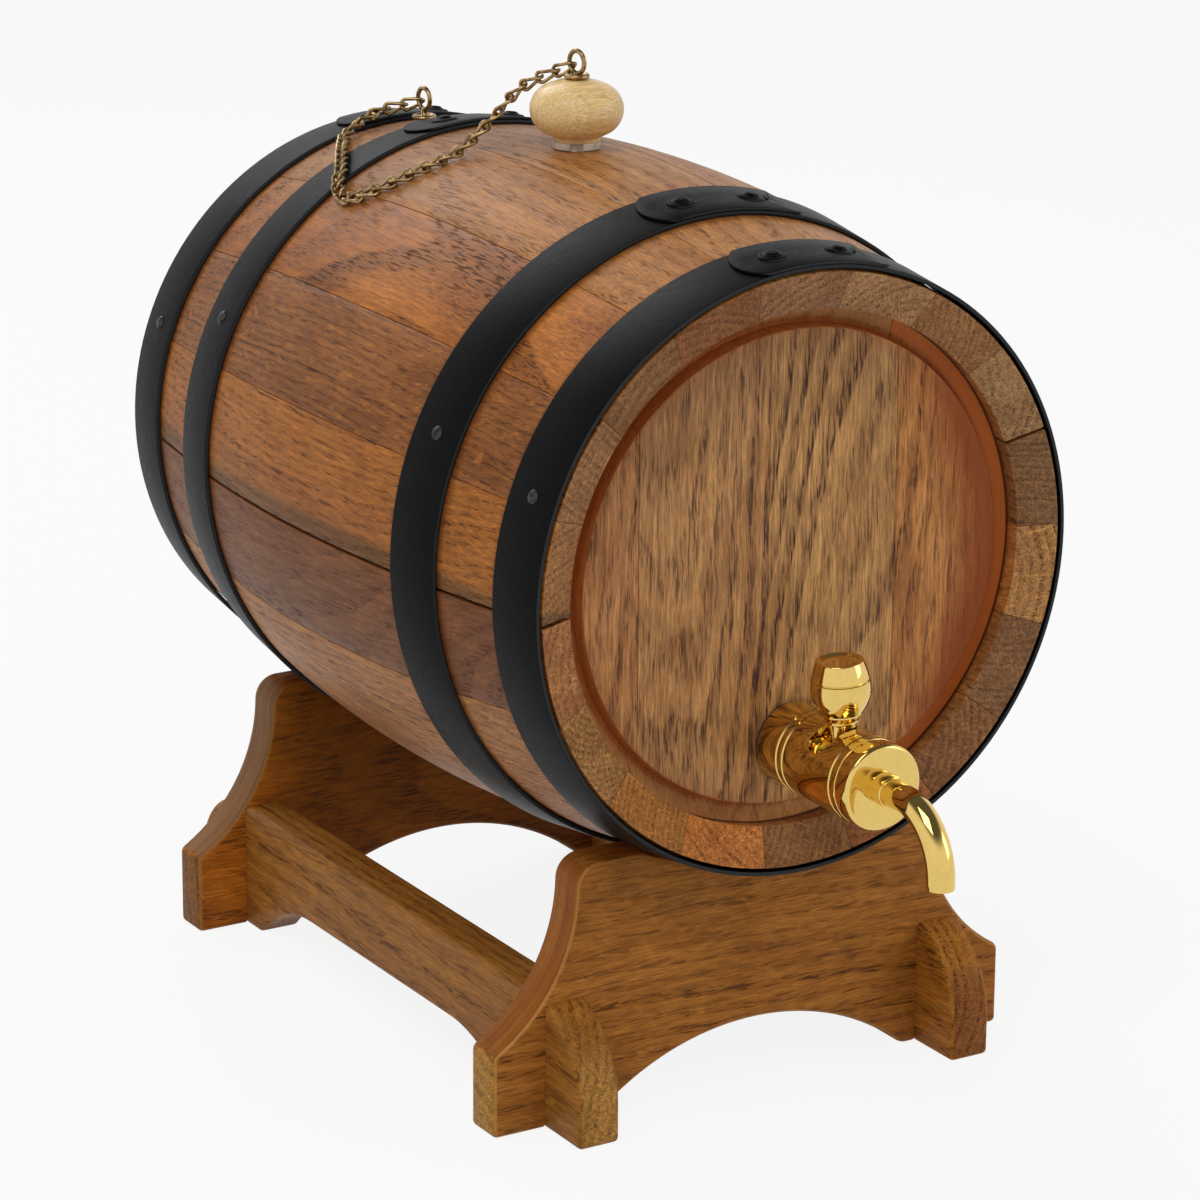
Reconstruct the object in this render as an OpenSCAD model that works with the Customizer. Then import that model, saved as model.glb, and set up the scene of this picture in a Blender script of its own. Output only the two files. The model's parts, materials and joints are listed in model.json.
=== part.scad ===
// Small oak keg on a cradle: a coopered cask with four riveted hoops, two jointed heads, a lever
// tap in the front head and a turned bung on a chain, lying on two boards halved over two rails.
// X runs across the cask, Y from the tap to the rear head, Z up from the table. Inside the modules
// Y is counted from the front end of the staves; the whole is then centred over the origin.

/* [Cask] */
// Length of the cask over the stave ends
cask_len = 260; // [240:1:300]
// Radius over the staves at either end
end_r = 90; // [86:0.5:94]
// Radius over the staves at the bilge
bilge_r = 103; // [99:0.5:107]
// Straight taper of the staves at either end
taper_len = 47; // [38:1:60]
// Thickness of the staves
stave_t = 12.5; // [11:0.5:14]
// Gap at the joint between two staves
stave_gap = 0.12; // [0.05:0.01:0.25]
// Height of the cask's axis over the table
axis_z = 168.3; // [160:0.1:180]
// Turn of the joint beside the bung stave, from the top towards the right
joint_turn = 8.5; // [6:0.5:11]

/* [Heads] */
// Depth of the raised field behind the stave ends
field_depth = 7.6; // [5:0.1:10]
// Radius of the raised field
field_r = 72.1; // [68:0.1:74]
// Fall from the field's face to the foot of its step
step_fall = 5.4; // [3:0.1:7]
// Slant of the step, from the field's edge out to its foot
step_slant = 0.8; // [0.4:0.1:1.5]
// Rise of the rim from the foot of the step to the staves
rim_rise = 2; // [0.5:0.1:3]
// Thickness of the tongue that sits in the staves' groove
tongue_t = 4.5; // [3.5:0.1:5.5]
// Thickness of a head at its field
head_t = 12.4; // [11:0.1:15]
// Depth of the staves' groove
groove_depth = 3; // [2:0.1:4]
// Play of the tongue in the groove
groove_play = 0.15; // [0.1:0.05:0.3]
// Width of a head board
board_pitch = 44.5; // [42:0.5:48]
// Place of the head's middle joint, to the left of the axis
board_shift = 9; // [8.9:0.1:14]

/* [Hoops] */
// Width of a hoop
hoop_w = 21.3; // [16:0.1:24]
// Thickness of a hoop
hoop_t = 1.3; // [0.8:0.1:2]
// How far the end hoops stand past the stave ends
hoop_proud = 0.3; // [0.1:0.1:1]
// Gap under the outer edge of the end hoops
hoop_lift = 0.9; // [0.4:0.1:1.4]
// Start of the inner hoops behind the stave ends
inner_hoop_at = 48.3; // [44:0.1:56]
// Play between a hoop and the staves, and between a splice plate and its hoop
hoop_seat = 0.06; // [0.03:0.01:0.2]
// Thickness of a splice plate
plate_t = 0.9; // [0.6:0.1:1.4]
// Turn of the plate's rounded end, from the top towards the left
plate_left = 12.6; // [10:0.1:16]
// Turn of the plate's square end, from the top towards the right
plate_right = 16; // [14:0.1:22]
// Radius of the plate's rounded end
plate_round = 13.5; // [12.5:0.1:20]
// Turn of the left rivet, from the top towards the left
rivet_left = 4.8; // [3:0.1:8]
// Turn of the right rivet, from the top towards the right
rivet_right = 11.7; // [9:0.1:13]
// Radius of a rivet head
rivet_r = 3.3; // [2.5:0.1:4]
// Height of a rivet head
rivet_h = 1.4; // [0.8:0.1:2]
// Radius of a rivet shank
rivet_shank = 1.6; // [1:0.1:2]
// Turn of the nails, from the top towards the left
nail_turn = 66.5; // [64:0.5:69]
// Radius of a nail head
nail_r = 2.2; // [1.6:0.1:3]
// Height of a nail head
nail_h = 0.9; // [0.5:0.1:1.4]
// Radius of a nail's shank
nail_shank = 0.8; // [0.5:0.1:1]
// Length of a nail under its head
nail_len = 10; // [7:0.5:11]

/* [Tap] */
// Depth of the tap's axis under the cask's axis
tap_drop = 53.5; // [50:0.1:58]
// Radius of the tap's body
tap_r = 13; // [12:0.1:15]
// Reach of the tap's body from the head's face
tap_len = 48.6; // [45:0.1:54]
// Thickness of the cap that closes the body
cap_t = 6.3; // [5:0.1:7.5]
// Edge bevel of the cap's face
cap_bevel = 0.8; // [0.4:0.1:1.2]
// Depth of the turned grooves
groove_cut = 0.35; // [0.2:0.05:0.5]
// Place of the first turned groove from the head's face
first_groove = 11.6; // [9:0.1:13]
// Distance between the grooves of a pair
groove_pitch = 3.1; // [2.5:0.1:4]
// Radius of the valve drum
drum_r = 9; // [8.4:0.1:9.6]
// Length of the valve drum
drum_len = 26; // [24:0.1:27]
// Running clearance of the drum
drum_play = 0.05; // [0.03:0.01:0.08]
// Radius of the ports in the drum and in the wall behind it
port_r = 2.2; // [1.6:0.1:2.4]
// Distance of the ports from the tap's axis
port_at = 5; // [4.6:0.1:5.6]
// Radius of the shank through the head
shank_r = 8; // [7:0.1:8.2]
// Radius of the bore in the shank
shank_bore = 4.5; // [4:0.1:5]
// Length of the shank behind the nut
shank_end = 3; // [1:0.5:6]
// Thickness of the washer outside the head
washer_t = 1.2; // [0.8:0.1:2]
// Thickness of the seal inside the head
seal_t = 1.6; // [1:0.1:2.5]
// Thickness of the nut inside the head
nut_t = 6; // [4:0.5:8]
// Width of the nut across its flats
nut_flats = 22; // [21:0.5:26]
// Play of the shank in the head, the washers and the nut
shank_play = 0.3; // [0.1:0.05:0.4]

/* [Spout] */
// Outer radius of the spout's tube
spout_r = 4.2; // [4:0.1:5]
// Wall of the spout's tube
spout_wall = 0.9; // [0.7:0.1:1.2]
// Length of the spout's tube before the bend
spout_len = 10; // [8:0.5:14]
// Radius of the spout's bend, at the middle of the tube
spout_bend = 19.3; // [16:0.1:24]
// Straight end of the spout under the bend
spout_drop = 2; // [1:0.5:8]
// Radius of the collar where the spout leaves the cap
collar_r = 4.9; // [4.7:0.1:6]
// Length of the collar
collar_len = 4.7; // [3:0.1:6]

/* [Lever] */
// Distance of the lever from the tap's front face
lever_at = 20.5; // [19:0.1:22]
// Lean of the closed lever, from upright towards the left
lever_lean = 4; // [0:0.5:8]
// Travel of the lever from closed to open
lever_travel = 36; // [25:1:45]
// Radius of the stem
stem_r = 4; // [3.4:0.1:4.2]
// Clearance between the stem and the sides of its slot
stem_play = 0.5; // [0.3:0.1:0.8]
// Radius of the stem's studs in the drum and the knob
stud_r = 2.5; // [2:0.1:2.8]
// Length of each stud
stud_len = 5; // [3.5:0.1:5.4]
// Play of a stud in its hole
stud_play = 0.05; // [0.03:0.01:0.1]
// Distance of the knob's foot from the tap's axis
knob_at = 14.6; // [14.3:0.1:17]
// Height of the lever knob
knob_h = 19; // [16:0.1:24]
// Radius of the knob at its foot
knob_foot_r = 4.8; // [4.2:0.1:6]
// Radius of the knob at its widest
knob_r = 9; // [8:0.1:11]
// Radius of the knob at its top
knob_top_r = 7; // [6:0.1:7.8]
// Depth of the hollow in the knob's top
knob_hollow = 0.8; // [0.4:0.1:1.5]

/* [Bung] */
// How far the bung lies behind the middle of the cask
bung_shift = 3; // [-10:0.5:10]
// Radius of the bung's knob
bung_r = 14.6; // [13:0.1:17]
// Height of the bung's knob
bung_h = 19.1; // [16:0.1:23]
// Radius of the knob's rounded side
bung_side_r = 8; // [7.6:0.1:8.2]
// Radius of the knob's flat turned foot
bung_foot_r = 7.4; // [6:0.1:8]
// Height of the stopper's collar
bung_collar_h = 2.2; // [1.5:0.1:4]
// Radius of the stopper's collar
bung_collar_r = 7.7; // [7.4:0.1:9]
// Width of the four notches in the collar
notch_w = 4.2; // [2:0.1:5.5]
// Turn of the notches
notch_turn = 59; // [0:1:89]
// Radius of the bung hole
bung_hole_r = 6.5; // [5.5:0.1:7]
// Play of the stopper in its hole
bung_play = 0.08; // [0.05:0.01:0.1]
// How far the stopper reaches into the cask
bung_reach = 5; // [2:0.5:10]
// Gap between the resting stopper's collar and the staves
bung_rest = 0.2; // [0.1:0.05:0.3]
// Radius of the stopper's spigot in the knob
spigot_r = 4; // [3:0.1:5]
// Length of the spigot
spigot_len = 6.5; // [4:0.5:7]

/* [Chain] */
// Diameter of the wire of the eyes
eye_wire = 1.5; // [1:0.1:1.8]
// Radius of an eye, at the middle of its wire
eye_r = 3.5; // [3.2:0.1:5]
// Length of an eye's screw
eye_screw = 9; // [6:0.5:10]
// Outer radius of the foot ring under an eye
foot_ring_r = 4; // [3:0.1:4.5]
// Turn of the bung's eye
bung_eye_turn = 9; // [-30:1:30]
// Turn of the eye that is screwed into the cask
anchor_turn = 4; // [-20:1:80]
// Neck of the eye that is screwed into the cask
anchor_neck = 1.7; // [0.2:0.1:4]
// Distance of that eye from the rear stave ends
anchor_setback = 30; // [28:0.5:38]
// Diameter of the links' wire
link_wire = 1.2; // [1:0.1:1.3]
// Inner length of a link
link_inner = 6.4; // [6.2:0.1:7]
// Inner width of a link
link_gap = 2.4; // [2.3:0.05:2.7]
// Slack between two links
link_slack = 0.8; // [0.5:0.05:1]
// Twist of a link from end to end
link_twist = 90; // [85:1:100]
// Clearance between the chain and what it lies on
chain_lift = 0.15; // [0.05:0.05:0.5]

/* [Stand] */
// Thickness of the boards and the rails
stand_t = 14; // [12:0.5:16]
// Half of the width of the boards
board_half = 91.5; // [86:0.5:98]
// Distance of a board from the stave end on its side
board_at = 25; // [23:0.5:31]
// Height of the boards at the tips of the cradle
board_h = 81.2; // [78:0.1:84]
// Gap between the cradle and the staves
cradle_gap = 0.3; // [0.2:0.05:0.6]
// Height of the boards' upright sides
side_h = 26; // [22:0.5:32]
// Radius of the hollow flanks
flank_r = 56.5; // [52:0.5:70]
// Half of the width between the hollow flanks
waist_half = 63.2; // [60:0.2:68]
// Rounding of the boards' upper corners
tip_r = 7.7; // [4:0.1:9]
// Half of the width of the arch under a board
arch_half = 55.5; // [50:0.5:58]
// Height of the arch under a board
arch_h = 20.2; // [15:0.1:22]
// Distance of the rails' inner faces from the middle
rail_in = 60; // [58.5:0.5:64]
// How far the rails reach past the stave ends, as a setback
rail_setback = 4.9; // [2:0.1:10]
// Height of the rails
rail_h = 41; // [38:0.5:46]
// Upright foot of a rail's end, under its rounding
rail_foot = 12.5; // [9:0.5:16]
// Height of the arch under a rail
rail_arch_h = 15; // [10:0.5:17]
// Distance of the rail's arch from the rail's end, at the table
rail_arch_at = 43.6; // [40:0.1:60]
// Radius of the rail arch's ends
rail_arch_r = 49.5; // [30:0.5:60]
// Play of a halving joint
halving_play = 0.1; // [0.05:0.05:0.3]

/* [Hidden] */
stave_count = 18;
head_boards = 4;
$fn = 96;
ARC_STEPS = 16;  // straight runs that stand for the curve of a stave

stave_pitch = 360 / stave_count;
first_joint = joint_turn - stave_pitch;  // left edge of the bung stave

// Bend of the staves: a straight taper at either end, then an arc tangent to both tapers.
half_len = cask_len / 2;
bend_half = half_len - taper_len;
swell = bilge_r - end_r;
function half_tan(u, n) = n == 0 ? u : half_tan(u - (2 * taper_len * u / (1 - u * u) + bend_half * u - swell)
  / (2 * taper_len * (1 + u * u) / pow(1 - u * u, 2) + bend_half), n - 1);
taper = 2 * atan(half_tan(swell / (half_len + taper_len), 6));
bend_r = bend_half / sin(taper);

// Radius over the staves at a distance y from the front stave ends.
function from_end(y) = max(0, min(y, cask_len - y));
function stave_r(y) = from_end(y) < taper_len
  ? end_r + from_end(y) * tan(taper)
  : bilge_r - bend_r + sqrt(bend_r * bend_r - pow(half_len - from_end(y), 2));
stations = concat([0], [for (i = [0:ARC_STEPS]) taper_len + 2 * bend_half * i / ARC_STEPS], [cask_len]);

// Head: tongue in the groove of the staves.
foot_depth = field_depth + step_fall;
tongue_at = foot_depth - rim_rise;
groove_r = stave_r(tongue_at) - stave_t + groove_depth;
tongue_r = groove_r - 2 * groove_play;
head_back = field_depth + head_t;

// Hoops: [outer edge, inner edge] from the stave ends, and the radius inside each edge.
bow = hoop_w * hoop_w / (8 * bend_r) + hoop_seat;  // the staves' curve under a straight band
end_hoop = [[-hoop_proud, end_r + hoop_lift], [hoop_w - hoop_proud, stave_r(hoop_w - hoop_proud) + bow]];
inner_hoop = [[inner_hoop_at, stave_r(inner_hoop_at) + bow],
  [inner_hoop_at + hoop_w, stave_r(inner_hoop_at + hoop_w) + bow]];
hoop_kinds = [end_hoop, inner_hoop];
function middle(h) = (h[0] + h[1]) / 2;
function slope(h) = atan((h[1][1] - h[0][1]) / (h[1][0] - h[0][0]));

// Tap, along its axis from the head's face, positive outwards.
tap_z = axis_z - tap_drop;
drum_front = tap_len - cap_t;
drum_back = drum_front - drum_len;
well_r = drum_r + drum_play;
stem_at = tap_len - lever_at;
nut_back = -head_t - seal_t - nut_t;
chamber = 2;            // room in the cap in front of the drum
port_open = 180;        // turn of the wall's port, from the top
spout_reach = spout_len + spout_bend;
front_reach = tap_len - field_depth + spout_reach + spout_r;
origin_y = (cask_len + hoop_proud - front_reach) / 2;

// Bung: heights from its collar's underside.
bung_at = half_len + bung_shift;
bung_z = axis_z + stave_r(bung_at) + bung_rest;
knob_z = bung_z + bung_collar_h;
bung_half = bung_h / 2;
bung_core = bung_r - bung_side_r;
bung_cap_r = (bung_core * bung_core + bung_half * bung_half - bung_side_r * bung_side_r)
  / (2 * (bung_half - bung_side_r));
bung_cap_turn = atan(bung_core / (bung_cap_r - bung_half));

// Stand.
cradle_r = stave_r(board_at + stand_t) + cradle_gap;
arch_r = (arch_half * arch_half + arch_h * arch_h) / (2 * arch_h);
rail_len = cask_len - 2 * rail_setback;
rail_end_r = rail_h - rail_foot;
halving_h = rail_h / 2;
rail_arch_x = rail_arch_at + sqrt(pow(rail_arch_r, 2) - pow(rail_arch_r - rail_arch_h, 2));

// Eye in the cask: its foot stands on the higher side of the taper.
anchor_at = cask_len - anchor_setback;
anchor_foot = max(stave_r(anchor_at - foot_ring_r), stave_r(anchor_at + foot_ring_r));

// Chain: [to the right, share of the way from the bung to the eye, height over its rest], as it lies.
link_pitch = link_inner - link_slack;
link_side = (link_gap + link_wire) / 2;       // bow radius at the middle of the wire
link_half = (link_inner + link_wire) / 2;     // half length at the middle of the wire
rest_lift = link_side / 2 + link_wire / 2 + chain_lift;
route = [
  [-11, 0.1423, 16.75], [-18.6, 0.1918, 8.55], [-25, 0.2155, 3.15], [-31, 0.2309, 0.5], [-38, 0.2546, 0],
  [-46.5, 0.2928, 0], [-53, 0.3423, 0], [-57.4, 0.4124, 0], [-57.5, 0.4866, 0.2], [-54.6, 0.5588, -0.3],
  [-50, 0.6289, 0], [-45.6, 0.7113, 0], [-40.8, 0.8000, 0], [-34.6, 0.9134, 0.5], [-28.4, 1.0103, 0.5],
  [-20.4, 1.0639, 0.2], [-12.4, 1.0722, 1.8]];

// How far the chain is raised where it crosses a rear hoop, and the run before the hoop in which it rises.
HOOP_NEAR = 3.2;
HOOP_FAR = 8;
function off_hoop(h, y) = max(h[0][0] - (cask_len - y), cask_len - y - h[1][0], 0);
function hoop_rise(y) = (hoop_t + bow) * max([for (h = hoop_kinds)
  min(1, max(0, (HOOP_FAR - off_hoop(h, y)) / (HOOP_FAR - HOOP_NEAR)))]);

gold = [0.85, 0.64, 0.2];
oak = [0.66, 0.45, 0.27];
stand_oak = [0.68, 0.46, 0.22];
iron = [0.13, 0.13, 0.14];
old_brass = [0.52, 0.4, 0.22];

function pad(i) = str(i < 10 ? "0" : "", i);

// Puts what is drawn round Z onto the cask's axis, with Z running to the rear.
module on_axis() { translate([0, 0, axis_z]) rotate([-90, 0, 0]) children(); }

// Turns an outline of (radius, y) round the cask's axis, between two turns from the top.
module turned(from = -180, to = 180) {
  on_axis() rotate([0, 0, from - 90]) rotate_extrude(angle = to - from) children();
}

// Stands a child upright on the cask: turn from the top, radius, place along Y.
module upon(turn, r, y) {
  translate([0, y, axis_z]) rotate([0, turn, 0]) translate([0, 0, r]) children();
}

// Draws a child at the front end, or its mirror image at the rear end.
module at_end(rear) {
  if (rear) translate([0, cask_len, 0]) mirror([0, 1, 0]) children();
  else children();
}

// ---- Staves ----

module stave_outline() {
  groove = [groove_r, tongue_t + 2 * groove_play];
  difference() {
    polygon(concat([for (y = stations) [stave_r(y), y]],
      [for (i = [len(stations) - 1:-1:0]) [stave_r(stations[i]) - stave_t, stations[i]]]));
    translate([0, tongue_at - groove_play]) square(groove);
    translate([0, cask_len - tongue_at + groove_play - groove[1]]) square(groove);
  }
}

function stave_left(i) = first_joint + stave_pitch * (i - 1);
function covers(i, turn) = let (t = stave_left(i)) (turn - t + 720) % 360 < stave_pitch;

module stave(i) {
  left = stave_left(i);
  half_gap = stave_gap / bilge_r * 90 / PI;
  color(oak) difference() {
    turned(left + half_gap, left + stave_pitch - half_gap) stave_outline();
    if (i == 1) bung_hole();
    if (i == 1) upon(0, anchor_foot - eye_screw, anchor_at) eye_bore();
    if (covers(i, -nail_turn)) each_nail() nail_bore();
  }
}

module bung_hole() {
  upon(0, stave_r(bung_at) - 2 * stave_t, bung_at) cylinder(h = 3 * stave_t, r = bung_hole_r);
}

// ---- Heads ----

module head_outline() {
  bevel = head_back - tongue_at - tongue_t;
  bore_r = stave_r(tongue_at) - stave_t;
  shoulder_r = bore_r - 2 * groove_play;
  polygon([[0, field_depth], [field_r - 0.6, field_depth], [field_r, field_depth + 0.6],
    [field_r + step_slant, foot_depth], [bore_r, tongue_at], [tongue_r, tongue_at],
    [tongue_r, tongue_at + tongue_t], [shoulder_r, tongue_at + tongue_t],
    [shoulder_r - bevel, head_back], [0, head_back]]);
}

function board_left(i) = board_pitch * (i - 3) - board_shift;

module head_board(i, rear) {
  half_gap = stave_gap / 2;
  left = i == 1 ? -end_r : board_left(i) + half_gap;
  right = i == head_boards ? end_r : board_left(i + 1) - half_gap;
  color(oak) at_end(rear) difference() {
    intersection() {
      turned() head_outline();
      translate([left, 0, axis_z - end_r]) cube([right - left, 2 * head_back, 2 * end_r]);
    }
    if (!rear) on_tap() translate([0, 0, -2 * head_t]) cylinder(h = 3 * head_t, r = shank_r + shank_play);
  }
}

// ---- Hoops ----

// Outline of a straight band lying over a hoop's seat, from one height over it to another.
module band(h, low, high) {
  polygon([[h[0][1] + low, h[0][0]], [h[1][1] + low, h[1][0]],
    [h[1][1] + high, h[1][0]], [h[0][1] + high, h[0][0]]]);
}

// Stands a child square on the middle of a hoop, at a height over its seat.
module on_hoop(h, turn, up) {
  upon(turn, middle(h)[1], middle(h)[0]) rotate([slope(h), 0, 0]) translate([0, 0, up]) children();
}

module each_hoop() {
  for (rear = [false, true], h = hoop_kinds) at_end(rear) {
    $h = h;
    children();
  }
}

module each_nail() {
  each_hoop() on_hoop($h, -nail_turn, hoop_t + 0.02) children();
}

module each_rivet() {
  each_hoop() for (turn = [-rivet_left, rivet_right]) on_hoop($h, turn, hoop_t + plate_t + 2 * hoop_seat)
    children();
}

module nail_bore() { translate([0, 0, -nail_len - 1]) cylinder(h = nail_len + 3, r = nail_shank + 0.05, $fn = 24); }
module rivet_bore() { translate([0, 0, -8]) cylinder(h = 12, r = rivet_shank + 0.05, $fn = 24); }

// Domed head of radius r and height h, with its shank under it.
module dome(r, h, shank, len) {
  ball = (r * r + h * h) / (2 * h);
  intersection() {
    translate([0, 0, h - ball]) sphere(r = ball, $fn = 48);
    cylinder(h = h + 1, r = r + 1, $fn = 48);
  }
  translate([0, 0, -len]) cylinder(h = len + 0.2, r = shank, $fn = 24);
}

module hoop(i) {
  rear = i > 2;
  h = hoop_kinds[(i == 1 || i == 4) ? 0 : 1];
  color(iron) at_end(rear) difference() {
    turned() band(h, 0, hoop_t);
    on_hoop(h, -nail_turn, hoop_t) nail_bore();
    for (turn = [-rivet_left, rivet_right]) on_hoop(h, turn, hoop_t) rivet_bore();
  }
}

module splice_plates() {
  color(iron) each_hoop() difference() {
    intersection() {
      turned(-plate_left, plate_right) band($h, hoop_t + hoop_seat, hoop_t + hoop_seat + plate_t);
      round_end($h);
    }
    for (turn = [-rivet_left, rivet_right]) on_hoop($h, turn, hoop_t + plate_t) rivet_bore();
  }
}

// Cutter that rounds the left end of a splice plate.
module round_end(h) {
  turn = -plate_left + plate_round / middle(h)[1] * 180 / PI;
  on_hoop(h, turn, -10) {
    cylinder(h = 25, r = plate_round);
    translate([0, -plate_round, 0]) cube([5 * plate_round, 2 * plate_round, 25]);
  }
}

module splice_rivets() {
  color(iron) each_rivet() dome(rivet_r, rivet_h, rivet_shank, plate_t + hoop_t + hoop_seat);
}

module hoop_nails() {
  color([0.4, 0.4, 0.4]) each_nail() dome(nail_r, nail_h, nail_shank, nail_len);
}

// ---- Tap ----

// Draws a child round the tap's axis, with Z running out of the head from its face.
module on_tap() { translate([0, field_depth, tap_z]) rotate([90, 0, 0]) children(); }

// A point of the tap's cross-section, by its turn from the top towards the right.
module tap_turn(turn) { rotate([0, 0, 90 - turn]) children(); }

module turned_groove(at) {
  translate([0, 0, at]) rotate_extrude()
    polygon([[tap_r + 1, -1 - groove_cut], [tap_r + 1, 1 + groove_cut], [tap_r - groove_cut, 0]]);
}

// The slot that the lever's stem travels in.
module lever_slot() {
  w = stem_r + stem_play;
  translate([0, 0, stem_at]) {
    for (turn = [-lever_lean, -lever_lean - lever_travel])
      tap_turn(turn) rotate([0, 90, 0]) translate([0, 0, drum_r / 2]) cylinder(h = 2 * tap_r, r = w);
    rotate([0, 0, 90 + lever_lean]) rotate_extrude(angle = lever_travel)
      translate([drum_r / 2, 0.02 - w]) square([2 * tap_r, 2 * w - 0.04]);
  }
}

module tap_body() {
  color(gold) on_tap() difference() {
    union() {
      translate([0, 0, washer_t]) cylinder(h = drum_front - washer_t, r = tap_r);
      translate([0, 0, nut_back - shank_end])
        cylinder(h = washer_t - nut_back + shank_end + 1, r = shank_r);
    }
    translate([0, 0, drum_back]) cylinder(h = drum_len + 1, r = well_r);
    translate([0, 0, nut_back - shank_end - 1])
      cylinder(h = drum_back - 3 - nut_back + shank_end, r = shank_bore);
    tap_turn(port_open) translate([port_at, 0, drum_back - 5]) cylinder(h = 6, r = port_r, $fn = 32);
    lever_slot();
    turned_groove(first_groove);
    turned_groove(first_groove + groove_pitch);
    turned_groove(drum_front - groove_pitch);
    turned_groove(drum_front);
  }
}

module tap_cap() {
  color(gold) on_tap() difference() {
    translate([0, 0, drum_front]) rotate_extrude()
      polygon([[0, 0], [tap_r - groove_cut, 0], [tap_r, groove_cut], [tap_r, cap_t - cap_bevel],
        [tap_r - cap_bevel, cap_t], [0, cap_t]]);
    translate([0, 0, drum_front - 1]) cylinder(h = chamber + 1, r = port_at + port_r);
    translate([0, 0, drum_front]) cylinder(h = cap_t + 1, r = spout_r - 0.2 + stud_play);
  }
}

module tap_spout() {
  bore = spout_r - spout_wall;
  color(gold) on_tap() translate([0, 0, tap_len]) difference() {
    union() {
      translate([0, 0, chamber - cap_t + 0.1]) cylinder(h = cap_t, r = spout_r - 0.2);
      cylinder(h = collar_len, r = collar_r);
      translate([0, 0, 0.1]) cylinder(h = spout_len - 0.1, r = spout_r);
      spout_turn(spout_r);
      translate([0, -spout_bend, spout_reach]) rotate([90, 0, 0]) cylinder(h = spout_drop, r = spout_r);
    }
    translate([0, 0, -cap_t]) cylinder(h = cap_t + spout_len, r = bore);
    spout_turn(bore);
    translate([0, -spout_bend, spout_reach]) rotate([90, 0, 0]) cylinder(h = spout_drop + 1, r = bore);
  }
}

// The quarter bend of the spout, as a round bar of radius r.
module spout_turn(r) {
  translate([0, -spout_bend, spout_len]) rotate([0, 90, 0]) mirror([1, 0, 0])
    rotate_extrude(angle = 90) translate([spout_bend, 0]) circle(r = r);
}

module ring_washer(from, t, r) {
  color([0.1, 0.1, 0.1]) on_tap() translate([0, 0, from]) difference() {
    cylinder(h = t, r = r);
    translate([0, 0, -1]) cylinder(h = t + 2, r = shank_r + shank_play);
  }
}

module tap_washer() { ring_washer(0, washer_t, tap_r - 0.6); }
module tap_seal() { ring_washer(-head_t - seal_t, seal_t, nut_flats / 2); }

module tap_nut() {
  color(gold) on_tap() translate([0, 0, nut_back]) difference() {
    cylinder(h = nut_t, r = nut_flats / sqrt(3), $fn = 6);
    translate([0, 0, -1]) cylinder(h = nut_t + 2, r = shank_r + stud_play);
  }
}

// ---- Lever, drawn about the tap's axis with the stem along X ----

module on_lever() { on_tap() translate([0, 0, stem_at]) tap_turn(-lever_lean) children(); }

module valve_drum() {
  end_play = drum_play;
  color(gold) on_tap() difference() {
    translate([0, 0, drum_back + end_play]) cylinder(h = drum_len - 2 * end_play, r = drum_r);
    tap_turn(port_open + lever_travel) translate([port_at, 0, drum_back - 1])
      cylinder(h = drum_len + 2, r = port_r, $fn = 32);
    translate([0, 0, stem_at]) tap_turn(-lever_lean) rotate([0, 90, 0])
      translate([0, 0, drum_r - stud_len]) cylinder(h = stud_len + 1, r = stud_r + stud_play, $fn = 32);
  }
}

module lever_stem() {
  color(gold) on_lever() rotate([0, 90, 0]) {
    translate([0, 0, drum_r - stud_len + 0.2]) cylinder(h = stud_len, r = stud_r);
    translate([0, 0, drum_r + 0.05]) cylinder(h = knob_at - drum_r - 0.05, r = stem_r);
    translate([0, 0, knob_at - 0.2]) cylinder(h = stud_len, r = stud_r);
  }
}

// Barrel-shaped knob: a foot, a belly and a narrower top with a shallow hollow.
module lever_knob() {
  belly = 0.54 * knob_h;
  foot = 1.2;
  low = [for (i = [0:6]) let (k = i / 6)
    [knob_foot_r + (knob_r - knob_foot_r) * sin(90 * k), foot + (belly - foot) * k]];
  high = [for (i = [1:5]) let (k = i / 5)
    [knob_r - (knob_r - knob_top_r) * (1 - cos(90 * k)), belly + (knob_h - belly) * k]];
  color(gold) on_lever() rotate([0, 90, 0]) translate([0, 0, knob_at]) difference() {
    rotate_extrude() polygon(concat([[0, 0], [knob_foot_r, 0]], low, high,
      [[knob_top_r - 0.8, knob_h], [knob_top_r - 0.8 - knob_hollow, knob_h - knob_hollow],
       [0, knob_h - knob_hollow]]));
    translate([0, 0, -1]) cylinder(h = stud_len + 1, r = stud_r + stud_play);
    for (at = [0.15, 0.7]) translate([0, 0, at * knob_h]) knob_line(at * knob_h, belly);
  }
}

// A fine turned line round the knob at a height over its foot.
module knob_line(at, belly) {
  r = at < belly ? knob_foot_r + (knob_r - knob_foot_r) * sin(90 * (at - 1.2) / (belly - 1.2))
    : knob_r - (knob_r - knob_top_r) * (1 - cos(90 * (at - belly) / (knob_h - belly)));
  rotate_extrude() polygon([[r + 1, -0.9], [r + 1, 0.9], [r - 0.25, 0.12], [r - 0.25, -0.12]]);
}

// ---- Bung ----

module on_bung(z) { translate([0, bung_at, z]) children(); }

// Flattened ball drawn as a four-centred oval: two round sides and two flatter caps.
module bung_outline() {
  side_turn = 90 - bung_cap_turn;
  cap = [for (i = [0:6]) let (t = 90 - bung_cap_turn * i / 6)
    [bung_cap_r * cos(t), bung_half - bung_cap_r + bung_cap_r * sin(t)]];
  side = [for (i = [1:11]) let (t = side_turn * (1 - i / 6))
    [bung_core + bung_side_r * cos(t), bung_side_r * sin(t)]];
  polygon(concat(cap, side, [for (i = [6:-1:0]) [cap[i][0], -cap[i][1]]]));
}

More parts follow.
